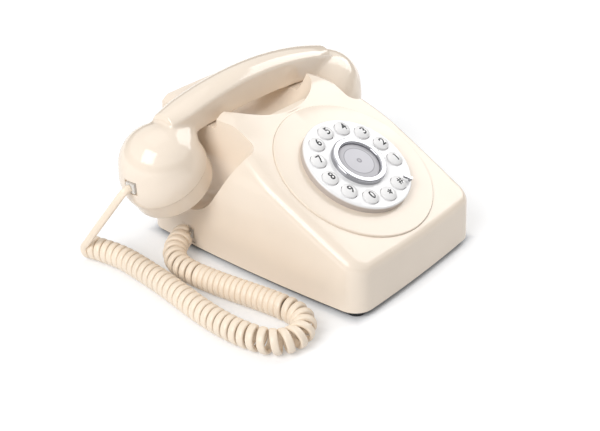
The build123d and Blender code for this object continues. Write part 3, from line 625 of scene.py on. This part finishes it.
@dataclass
class Studio:
    """White floor, soft lamps from both sides and a pale surround."""

    floor_half: float = 6.0
    floor_colour: Colour = (0.82, 0.83, 0.85)
    floor_glow: Colour = (0.24, 0.235, 0.225)
    far_glow: float = 4.2
    far_from: tuple[float, float] = (0.35, 1.5)
    # Painted shade: the box under the case where the floor gets no glow.
    dark_half: tuple[float, float] = (0.068, 0.093)
    dark_edge: float = 0.004
    surround: float = 0.38
    softboxes: list[Softbox] = field(
        default_factory=lambda: [
            Softbox("left_softbox", (-0.78, -0.05, 0.62), 1.3, (0.75, 0.75), 6.1),
            Softbox("right_softbox", (0.825, -0.11, 0.55), 1.3, (0.8, 0.8), 3.7),
            Softbox("top_softbox", (0.05, 0.25, 1.0), 1.5, (1.2, 1.2), 0.6),
        ]
    )
    band: DarkBand = field(default_factory=DarkBand)

    def build(self) -> None:
        """Make the floor, the lamps and the world."""
        scene = bpy.context.scene
        scene.view_settings.view_transform = "Standard"
        self.build_floor()
        self.build_world()
        for item in (*self.softboxes, self.band):
            item.build()

    def build_floor(self) -> None:
        """Make the floor, which shows white to the camera and keeps the telephone's shadow; its glow is cut out under
        the case, which paints shade there.
        """
        h = self.floor_half
        floor = mesh_piece("studio_floor", [(-h, -h, 0), (h, -h, 0), (h, h, 0), (-h, h, 0)], [(0, 1, 2, 3)])
        recipe = Recipe("floor_paper")
        recipe.drift(self.floor_colour, 0.004, 8.0)
        recipe.set(Roughness=0.9, Specular_IOR_Level=0.1)
        glow = recipe.add("ShaderNodeEmission", {"Color": (*self.floor_glow, 1.0), "Strength": self.open_floor(recipe)})
        lit = recipe.add("ShaderNodeAddShader")
        recipe.feed(recipe.shader.outputs["BSDF"], lit.inputs[0])
        recipe.feed(glow.outputs["Emission"], lit.inputs[1])
        mix = recipe.add("ShaderNodeMixShader", {"Fac": seen_by_camera(recipe.material.node_tree)})
        recipe.feed(recipe.shader.outputs["BSDF"], mix.inputs[1])
        recipe.feed(lit.outputs[0], mix.inputs[2])
        recipe.feed(mix.outputs[0], recipe.nodes["Material Output"].inputs["Surface"])
        floor.data.materials.append(recipe.material)

    def open_floor(self, recipe: Recipe) -> Socket:
        """Work out where the floor glows.

        Args:
            recipe: The floor's material.

        Returns:
            The share of the glow: 0 under the case, which paints shade beneath it, 1 round it and more where the lamps
                fall off.
        """
        split = recipe.add("ShaderNodeSeparateXYZ", {"Vector": recipe.place()}).outputs
        # The box under the case gets no glow, which paints shade beneath the telephone.
        sides = []
        for axis, half in zip("XY", self.dark_half):
            size = recipe.add("ShaderNodeMath", {0: split[axis]}, operation="ABSOLUTE").outputs[0]
            sides.append(recipe.add("ShaderNodeMath", {0: size, 1: half}, operation="SUBTRACT").outputs[0])
        out = recipe.add("ShaderNodeMath", {0: sides[0], 1: sides[1]}, operation="MAXIMUM").outputs[0]
        inputs = {"Value": out, "From Min": -self.dark_edge, "From Max": self.dark_edge}
        near = recipe.add("ShaderNodeMapRange", inputs).outputs["Result"]
        away = recipe.add("ShaderNodeVectorMath", {0: recipe.place()}, operation="LENGTH").outputs["Value"]
        inputs = {"Value": away, "From Min": self.far_from[0], "From Max": self.far_from[1]}
        inputs |= {"To Min": 1.0, "To Max": self.far_glow}
        far = recipe.add("ShaderNodeMapRange", inputs).outputs["Result"]
        return recipe.add("ShaderNodeMath", {0: near, 1: far}, operation="MULTIPLY").outputs[0]

    def build_world(self) -> None:
        """Make the surround: a soft light that looks white to the camera."""
        world = bpy.data.worlds.new("studio_surround")
        world.use_nodes = True
        bpy.context.scene.world = world
        nodes, links = world.node_tree.nodes, world.node_tree.links
        soft = nodes["Background"]
        soft.inputs["Color"].default_value = (1.0, 1.0, 1.0, 1.0)
        soft.inputs["Strength"].default_value = self.surround
        white = nodes.new("ShaderNodeBackground")
        white.inputs["Color"].default_value = (1.0, 1.0, 1.0, 1.0)
        mix = nodes.new("ShaderNodeMixShader")
        links.new(seen_by_camera(world.node_tree), mix.inputs["Fac"])
        links.new(soft.outputs[0], mix.inputs[1])
        links.new(white.outputs[0], mix.inputs[2])
        links.new(mix.outputs[0], nodes["World Output"].inputs["Surface"])


def nurbs_points(points: Sequence[Point], resolution: int) -> np.ndarray:
    """Read the points of a smooth line.

    Args:
        points: Control points in metres.
        resolution: Steps for each control point.

    Returns:
        The line's own points, in order.
    """
    curve = bpy.data.curves.new("route", "CURVE")
    curve.dimensions = "3D"
    spline = curve.splines.new("NURBS")
    spline.points.add(len(points) - 1)
    for target, point in zip(spline.points, points):
        target.co = (*point, 1.0)
    spline.order_u = 3
    spline.use_endpoint_u = True
    spline.resolution_u = resolution
    holder = bpy.data.objects.new("route", curve)
    mesh = bpy.data.meshes.new_from_object(holder)
    line = np.array([vertex.co for vertex in mesh.vertices], float).reshape(-1, 3)
    bpy.data.meshes.remove(mesh)
    bpy.data.objects.remove(holder)
    bpy.data.curves.remove(curve)
    return line


def unit(vectors: np.ndarray) -> np.ndarray:
    """Return vectors scaled to length 1."""
    return vectors / np.linalg.norm(vectors, axis=-1, keepdims=True)


@dataclass
class CurlyCord:
    """Curly cord from the handset's left end to the jack in the left wall."""

    half_width: float = 2.45 * MM
    half_thickness: float = 1.5 * MM
    squareness: float = 2.8
    width_per_pitch: float = 0.5
    section_sides: int = 18
    diameter: float = 4.2 * MM
    curl_radius: float = 6.6 * MM
    curls: float = 61.75
    steps_per_curl: int = 28
    axis_steps: int = 48
    lead_steps: int = 10
    tail_steps: int = 8
    tail_run: float = 3.0
    width_blend: int = 28
    plug_straight: float = 1.2
    pitches: tuple[float, float, float, float] = (5.6 * MM, 6.6 * MM, 4.2 * MM, 5.8 * MM)
    bend: tuple[float, float] = (155.0 * MM, 222.0 * MM)
    hook: float = 52.0 * MM
    length: float = 2.66
    axis_z: float = 8.4 * MM
    axis: list[tuple[float, float]] = field(
        default_factory=lambda: [
            (-0.1195, 0.096), (-0.116, 0.080), (-0.115, 0.064), (-0.1168, 0.046), (-0.1188, 0.028),
            (-0.122, 0.008), (-0.1256, -0.012), (-0.1278, -0.030), (-0.1282, -0.048), (-0.1262, -0.062),
            (-0.1229, -0.0713), (-0.1164, -0.0772), (-0.1082, -0.0792), (-0.100, -0.0768), (-0.0938, -0.0708),
            (-0.091, -0.062), (-0.0914, -0.050), (-0.093, -0.036), (-0.0954, -0.020), (-0.0976, -0.004),
            (-0.0988, 0.010), (-0.0989, 0.022), (-0.0976, 0.0315), (-0.094, 0.040), (-0.0868, 0.0470),
            (-0.0748, 0.0512),
        ]
    )
    rise: tuple[float, ...] = (1.2 * MM, 3.0 * MM, 4.8 * MM)
    lead: list[Point] = field(
        default_factory=lambda: [
            (-0.1136, 0.055, 0.0648), (-0.118, 0.0552, 0.0642), (-0.1198, 0.0585, 0.0595),
            (-0.1215, 0.0665, 0.0485), (-0.1243, 0.080, 0.0305), (-0.1262, 0.091, 0.0154),
            (-0.126, 0.0947, 0.0117),
        ]
    )
    plug_end: Point = (-0.069, 0.0515, 0.0127)
    lift_start: Point = (-0.0795, 0.0345, 0.0239)

    def curl_line(self) -> tuple[np.ndarray, np.ndarray, np.ndarray]:
        """Wind the curls round the smooth line of the cord's axis.

        Returns:
            Points of the wire's middle line, the outward direction and half the cord's width at each.
        """
        heights = np.full(len(self.axis), self.axis_z)
        heights[-len(self.rise):] += self.rise
        axis = nurbs_points([(x, y, z) for (x, y), z in zip(self.axis, heights)], self.axis_steps)
        along = np.concatenate([[0.0], np.cumsum(np.linalg.norm(np.diff(axis, axis=0), axis=1))])
        zones = [along < self.bend[0], along < self.bend[1], along < along[-1] - self.hook]
        pitch = np.select(zones, self.pitches[:3], self.pitches[3])
        count = np.concatenate([[0.0], np.cumsum(np.diff(along) / pitch[1:])])
        count *= self.curls / count[-1]
        curl = np.linspace(0.0, self.curls, int(self.curls * self.steps_per_curl) + 1)
        at = np.interp(curl, count, along)
        middle = np.stack([np.interp(at, along, axis[:, k]) for k in range(3)], axis=1)
        heading = np.gradient(axis, along, axis=0)
        heading = unit(np.stack([np.interp(at, along, heading[:, k]) for k in range(3)], axis=1))
        side = unit(np.cross(heading, (0.0, 0.0, 1.0)))
        turn = (2 * math.pi * curl)[:, None]
        outward = side * np.cos(turn) - np.array([0.0, 0.0, 1.0]) * np.sin(turn)
        half_width = np.minimum(self.half_width, np.interp(at, along, pitch) * self.width_per_pitch)
        window = 2 * self.width_blend + 1
        half_width = np.convolve(np.pad(half_width, self.width_blend, "edge"), np.full(window, 1 / window), "valid")
        return middle + outward * self.curl_radius, outward, half_width

    def build(self, finishes: Finishes) -> bpy.types.Object:
        """Args:
            finishes: Where its material comes from.

        Returns:
            The cord.
        """
        curls, outward, half_width = self.curl_line()
        lead = nurbs_points([*self.lead, tuple(curls[0])], self.lead_steps)
        run = curls[-1] + (curls[-1] - curls[-2]) * self.tail_run
        tail = nurbs_points([tuple(curls[-1]), tuple(run), self.near_plug(), self.plug_end], self.tail_steps)
        line = np.concatenate([lead[:-1], curls, tail[1:]])
        ends = ((len(lead) - 1, len(tail) - 1), (0, 0))
        points, faces = self.tube(line, np.pad(outward, ends, "edge"), np.pad(half_width, ends[0], "edge"))
        cord = mesh_piece("curly_cord", points, faces)
        finishes.give(cord, "cord_plastic")
        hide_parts("handset_cord")
        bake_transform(cord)
        return cord

    def near_plug(self) -> Point:
        """Return the point where the cord turns straight into its lower plug."""
        x, y, z = self.plug_end
        return (x - self.plug_straight * self.diameter, y, z)

    def tube(self, line: np.ndarray, outward: np.ndarray, half_width: np.ndarray) -> tuple[np.ndarray, list]:
        """Lay the cord's flat section along a line.

        Args:
            line: Points of the middle line.
            outward: Direction of the section's thin side at each point.
            half_width: Half the section's width at each point.

        Returns:
            Points and faces of the tube with closed ends.
        """
        heading = unit(np.gradient(line, axis=0))
        thin = unit(outward - heading * np.sum(outward * heading, axis=1, keepdims=True))
        wide = np.cross(heading, thin)
        angles = np.linspace(0.0, 2 * math.pi, self.section_sides, endpoint=False)
        across, along = (np.sign(v) * np.abs(v) ** (2 / self.squareness) for v in (np.cos(angles), np.sin(angles)))
        points = (
            line[:, None, :]
            + thin[:, None, :] * (self.half_thickness * across)[None, :, None]
            + wide[:, None, :] * (half_width[:, None] * along[None, :])[:, :, None]
        ).reshape(-1, 3)
        return points, tube_faces(len(line), self.section_sides)


@dataclass
class HandsetShell:
    """Handset body: a flat-topped handle with ridged sides that swells into a round head at each end."""

    middle_y: float = 55.0 * MM
    crown_z: float = 116.1 * MM
    crown_drop: float = 4.6 * MM
    bottom_z: float = 90.6 * MM
    bottom_drop: float = 2.4 * MM
    straight: float = 52.0 * MM
    reach: float = 82.0 * MM
    half_width: float = 12.2 * MM
    end_half_width: float = 9.6 * MM
    taper_from: float = 66.0 * MM
    foot_share: float = 0.76
    ridge_drop: float = 5.5 * MM
    ball: tuple[float, float, float] = (83.3 * MM, 64.8 * MM, 30.0 * MM)
    neck: list[tuple[float, float, float]] = field(
        default_factory=lambda: [(67.0 * MM, 90.5 * MM, 10.0 * MM), (86.0 * MM, 71.3 * MM, 27.6 * MM)]
    )
    tilt: float = math.radians(30.0)
    socket: tuple[float, float, float] = (30.0 * MM, 10.7 * MM, 9.5 * MM)
    seam_radius: float = 29.62 * MM
    seam_line: float = 0.3 * MM
    stations: int = 83
    crown_steps: int = 21
    side_steps: int = 15
    head_steps: int = 8
    voxel: float = 0.9 * MM
    smoothing: int = 18
    smooth_share: float = 0.5
    crease: float = math.radians(50.0)

    def build(self, finishes: Finishes) -> list[bpy.types.Object]:
        """Make the body, let it stand for the handset's own node, and shade the seams of its caps.

        Args:
            finishes: Where its materials come from.

        Returns:
            The body and its seams.
        """
        body = self.body()
        seams = mesh_piece("handset_seams", *self.seams())
        for piece, finish in ((body, "handset_plastic"), (seams, "seam_shade")):
            finishes.give(piece, finish)
            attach(piece, Body.HANDSET.value)
        SmoothShading(crease=self.crease).give(body)
        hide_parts("handset_body")
        return [body, seams]

    def body(self) -> bpy.types.Object:
        """Return the body, cut off at the seams of its caps and open at its socket."""
        points, faces = self.handle()
        for side in (-1, 1):
            for x, z, radius in self.heads():
                self.join(points, faces, self.sphere((side * x, self.middle_y, z), radius))
        body = mesh_piece("handset_shell", points, faces)
        remesh = body.modifiers.new("one_skin", "REMESH")
        remesh.mode, remesh.voxel_size = "VOXEL", self.voxel
        smooth = body.modifiers.new("soft_edges", "SMOOTH")
        smooth.factor, smooth.iterations = self.smooth_share, self.smoothing
        self.apply(body)
        self.trim(body)
        self.cut_socket(body)
        body.data.polygons.foreach_set("use_smooth", [True] * len(body.data.polygons))
        return body

    def seams(self, steps: int = 160, sides: int = 8) -> tuple[list, list]:
        """Lay a thin shaded line between each head and its cap.

        Args:
            steps: Corners round each seam.
            sides: Corners round the line's own section.

        Returns:
            Points and faces.
        """
        points, faces = [], []
        x, z, _ = self.ball
        for side in (-1, 1):
            ring = []
            for i in range(steps):
                turn = 2 * math.pi * i / steps
                for k in range(sides):
                    roll = 2 * math.pi * k / sides
                    out = self.seam_radius + self.seam_line * math.cos(roll)
                    across, over = out * math.cos(turn), self.seam_line * math.sin(roll)
                    ring.append((
                        side * (x + across * math.cos(self.tilt) + over * math.sin(self.tilt)),
                        self.middle_y + out * math.sin(turn),
                        z - across * math.sin(self.tilt) + over * math.cos(self.tilt),
                    ))
            loop = [
                (i * sides + k, i * sides + m, j * sides + m, j * sides + k)
                for i, j in ((i, (i + 1) % steps) for i in range(steps))
                for k, m in ((k, (k + 1) % sides) for k in range(sides))
            ]
            self.join(points, faces, (ring, loop))
        return points, faces

    @staticmethod
    def join(points: list, faces: list, part: tuple[list, list]) -> None:
        """Add one part to a mesh.

        Args:
            points: Points so far.
            faces: Faces so far.
            part: Points and faces of the part.
        """
        start = len(points)
        points += part[0]
        faces += [tuple(corner + start for corner in face) for face in part[1]]

    @staticmethod
    def apply(body: bpy.types.Object) -> None:
        """Make the result of a piece's modifiers its own mesh.

        Args:
            body: The piece.
        """
        shaped = bpy.data.meshes.new_from_object(body.evaluated_get(bpy.context.evaluated_depsgraph_get()))
        body.modifiers.clear()
        body.data = shaped

    def heads(self) -> list[tuple[float, float, float]]:
        """Return the balls, from the neck to the head, as x, z and radius."""
        keys = np.array([*self.neck, self.ball])
        steps = np.linspace(0, len(keys) - 1, self.head_steps * (len(keys) - 1) + 1)
        return [tuple(np.interp(step, range(len(keys)), keys[:, k]) for k in range(3)) for step in steps]

    def handle(self) -> tuple[list, list]:
        """Return the closed form of the handle."""
        points = []
        for x in np.linspace(-self.reach, self.reach, self.stations):
            points += [(x, self.middle_y + y, z) for y, z in self.section(abs(x))]
        return points, tube_faces(self.stations, len(points) // self.stations)

    def section(self, x: float) -> list[tuple[float, float]]:
        """Draw the outline across the handle.

        Args:
            x: Distance from the handle's middle.

        Returns:
            Corners across and up, round the outline.
        """
        top = self.crown_z - self.sag(x, self.crown_drop)
        bottom = self.bottom_z - self.sag(x, self.bottom_drop)
        share = min(max((x - self.taper_from) / (self.reach - self.taper_from), 0.0), 1.0)
        wide = self.half_width + (self.end_half_width - self.half_width) * share
        ridge = top - self.ridge_drop
        foot = self.foot_share * wide
        radius = (wide**2 + self.ridge_drop**2) / (2 * self.ridge_drop)
        crown = [(y, top - radius + math.sqrt(radius**2 - y * y)) for y in np.linspace(wide, -wide, self.crown_steps)]
        shares = np.linspace(0, 1, self.side_steps)[:-1]
        side = [(foot + (wide - foot) * t, bottom + (ridge - bottom) * t) for t in shares]
        return [*side, *crown, *[(-y, z) for y, z in side[::-1]]]

    def sag(self, x: float, drop: float) -> float:
        """Return how far an arch has dropped at a distance from its middle."""
        radius = (self.straight**2 + drop**2) / (2 * drop)
        return radius - math.sqrt(radius**2 - x * x)

    @staticmethod
    def sphere(centre: Point, radius: float, rings: int = 40) -> tuple[list, list]:
        """Make a ball.

        Args:
            centre: Its middle.
            radius: Its radius.
            rings: Steps from pole to pole.

        Returns:
            Points and faces.
        """
        steps = 2 * rings
        points = [
            (
                centre[0] + radius * math.sin(math.pi * i / rings) * math.cos(2 * math.pi * k / steps),
                centre[1] + radius * math.sin(math.pi * i / rings) * math.sin(2 * math.pi * k / steps),
                centre[2] + radius * math.cos(math.pi * i / rings),
            )
            for i in range(1, rings)
            for k in range(steps)
        ]
        faces = [
            (i * steps + k, (i + 1) * steps + k, (i + 1) * steps + (k + 1) % steps, i * steps + (k + 1) % steps)
            for i in range(rings - 2)
            for k in range(steps)
        ]
        last = (rings - 2) * steps
        return points, [*faces, tuple(range(steps)), tuple(range(last, last + steps))[::-1]]

    def trim(self, body: bpy.types.Object) -> None:
        """Cut both heads off at the seams of their caps.

        Args:
            body: The body, whose mesh changes.
        """
        mesh = bmesh.new()
        mesh.from_mesh(body.data)
        x, z, _ = self.ball
        for side in (-1, 1):
            half = [face for face in mesh.faces if side * face.calc_center_median().x > self.straight]
            edges = {edge for face in half for edge in face.edges}
            verts = {vert for face in half for vert in face.verts}
            cut = bmesh.ops.bisect_plane(
                mesh,
                geom=[*verts, *edges, *half],
                dist=1e-6,
                plane_co=(side * x, self.middle_y, z),
                plane_no=(side * math.sin(self.tilt), 0.0, math.cos(self.tilt)),
                clear_inner=True,
            )["geom_cut"]
            rim = [item for item in cut if isinstance(item, bmesh.types.BMEdge)]
            bmesh.ops.holes_fill(mesh, edges=rim, sides=0)
        mesh.to_mesh(body.data)
        mesh.free()

    def cut_socket(self, body: bpy.types.Object) -> None:
        """Cut the opening of the cord's socket into the left head.

        Args:
            body: The body, whose mesh changes.
        """
        x, z, radius = self.ball
        deep, wide, high = (size / 2 for size in self.socket)
        corners = [
            (-x - radius + i * deep, self.middle_y + j * wide, z + k * high)
            for i in (-1, 1)
            for j in (-1, 1)
            for k in (-1, 1)
        ]
        sides = [(0, 1, 3, 2), (4, 6, 7, 5), (0, 4, 5, 1), (2, 3, 7, 6), (0, 2, 6, 4), (1, 5, 7, 3)]
        cutter = mesh_piece("socket_cutter", corners, sides, smooth=False)
        opening = body.modifiers.new("socket_opening", "BOOLEAN")
        opening.operation, opening.object, opening.solver = "DIFFERENCE", cutter, "EXACT"
        self.apply(body)
        bpy.data.objects.remove(cutter)


@dataclass
class DialDress:
    """Printed numerals on the domes of the buttons."""

    centre: Point = DIAL_CENTRE
    slope: float = DIAL_SLOPE
    ring_radius: float = 29.7 * MM
    first_angle: float = -22.0
    step_angle: float = 28.8
    button_radius: float = 5.5 * MM
    dome: float = 1.8 * MM
    top: float = 9.2 * MM
    ink: float = 0.04 * MM
    glyphs: dict[str, str] = field(
        default_factory=lambda: {**{str(k): str(k) for k in (1, 2, 3, 4, 5, 6, 7, 8, 9, 0)}, "star": "*", "hash": "#"}
    )
    heights: dict[str, float] = field(default_factory=lambda: {"star": 4.4 * MM, "hash": 5.2 * MM})
    glyph_height: float = 5.9 * MM
    bold: float = 0.022
    cut: float = 0.5 * MM
    cuts: int = 8
    outline_steps: int = 6

    def plane(self) -> Matrix:
        """Return the matrix from the dial's own plane to the row frame."""
        x = Vector((1.0, 0.0, 0.0))
        y = Vector((0.0, math.cos(self.slope), math.sin(self.slope)))
        z = x.cross(y)
        return Matrix.Translation(self.centre) @ Matrix((x, y, z)).transposed().to_4x4()

    def build(self, finishes: Finishes) -> list[bpy.types.Object]:
        """Make the numerals.

        Args:
            finishes: Where their materials come from.

        Returns:
            The new pieces.
        """
        return [
            self.numeral(number, name, glyph, finishes)
            for number, (name, glyph) in enumerate(self.glyphs.items())
        ]

    def numeral(self, number: int, name: str, glyph: str, finishes: Finishes) -> bpy.types.Object:
        """Lay one printed sign on the dome of its button.

        Args:
            number: Place of the button in the ring.
            name: Name of the button.
            glyph: The sign.
            finishes: Where its material comes from.

        Returns:
            The numeral.
        """
        angle = math.radians(self.first_angle + number * self.step_angle)
        middle = Vector((self.ring_radius * math.cos(angle), self.ring_radius * math.sin(angle), 0.0))
        mesh = self.glyph_mesh(glyph, self.heights.get(name, self.glyph_height))
        ball = (self.button_radius**2 + self.dome**2) / (2 * self.dome)
        for vertex in mesh.verts:
            x, y, z = vertex.co
            sunk = ball - math.sqrt(ball**2 - x * x - y * y)
            vertex.co = middle + Vector((x, y, self.top - sunk + z))
        mesh.transform(self.plane())
        data = bpy.data.meshes.new(f"numeral_{name}")
        mesh.to_mesh(data)
        mesh.free()
        piece = placed(f"numeral_{name}", data)
        finishes.give(piece, "grey_ink")
        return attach(piece, f"button_{name}")

    def glyph_mesh(self, glyph: str, height: float) -> bmesh.types.BMesh:
        """Make a sign as a thin film round the origin, cut fine enough to lie on a dome.

        Args:
            glyph: The sign.
            height: Its height in metres.

        Returns:
            The mesh, still open for changes.
        """
        curve = bpy.data.curves.new("glyph", "FONT")
        curve.body = glyph
        curve.resolution_u = self.outline_steps
        curve.offset = self.bold
        holder = bpy.data.objects.new("glyph", curve)
        flat = bpy.data.meshes.new_from_object(holder)
        bpy.data.objects.remove(holder)
        bpy.data.curves.remove(curve)
        film = bmesh.new()
        film.from_mesh(flat)
        bpy.data.meshes.remove(flat)
        low = Vector([min(v.co[k] for v in film.verts) for k in range(3)])
        high = Vector([max(v.co[k] for v in film.verts) for k in range(3)])
        scale = height / (high.y - low.y)
        for vertex in film.verts:
            vertex.co = (vertex.co - (low + high) / 2) * scale
        for side in (Vector((1, 0, 0)), Vector((0, 1, 0))):
            for step in range(-self.cuts, self.cuts + 1):
                geometry = [*film.verts, *film.edges, *film.faces]
                bmesh.ops.bisect_plane(film, geom=geometry, dist=1e-8, plane_co=side * step * self.cut, plane_no=side)
        bmesh.ops.triangulate(film, faces=film.faces)
        raised = bmesh.ops.extrude_face_region(film, geom=film.faces[:])["geom"]
        bmesh.ops.translate(film, vec=(0, 0, self.ink), verts=[g for g in raised if isinstance(g, bmesh.types.BMVert)])
        for vertex in film.verts:
            vertex.co.z -= self.ink / 2
        bmesh.ops.recalc_face_normals(film, faces=film.faces)
        return film


@dataclass
class CadDress:
    """Finish and shading of every node that comes from the CAD model."""

    finish_of: dict[str, tuple[str, ...]] = field(
        default_factory=lambda: {
            "case_plastic": ("housing", "dial_bezel", "handset_jack"),
            "handset_plastic": ("mouthpiece_cap", "earpiece_cap", "handset_socket"),
            "dial_plastic": ("dial_plate",),
            "button_plastic": tuple(f"button_{n}" for n in (*range(10), "star", "hash")),
            "chrome": ("centre_ring", "finger_stop"),
            "satin_card": ("centre_card",),
            "foot_rubber": ("rubber_feet",),
            "black_paint": ("base_plate",),
            "zinc_steel": ("base_screws", "gong_screws", "hook_bracket", "ringer_frame", "clapper"),
            "brass": ("bell_gong_left", "bell_gong_right"),
            "wound_copper": ("ringer_coil",),
            "circuit_board": ("main_board", "keypad_board"),
            "black_compound": (
                "board_components", "hook_switch", "line_jack", "microphone_capsule", "receiver_capsule",
            ),
            "silicone": ("keypad_membrane",),
            "clear_plastic": ("hook_plunger_left", "hook_plunger_right"),
            "milky_plastic": ("cord_plug_handset", "cord_plug_base"),
            "nylon": ("plunger_yoke",),
        }
    )

    def build(self, finishes: Finishes, shading: SmoothShading) -> None:
        """Dress the nodes.

        Args:
            finishes: Where their materials come from.
            shading: How their facets are shaded.
        """
        for finish, names in self.finish_of.items():
            for name in names:
                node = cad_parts[name]
                finishes.give(node, finish)
                shading.give(node)
                log.info("%s: %s", name, finish)


def main() -> None:
    """Build the scene piece by piece."""
    logging.basicConfig(level=logging.INFO, format="%(message)s")
    StudioCamera().build()
    finishes = Finishes()
    cord = CurlyCord().build(finishes)
    log.info("%s: %d points", cord.name, len(cord.data.vertices))
    CadDress().build(finishes, SmoothShading())
    for piece in (*HandsetShell().build(finishes), *DialDress().build(finishes)):
        log.info("%s: %d points", piece.name, len(piece.data.vertices))
    Studio().build()


if __name__ == "__main__":
    main()
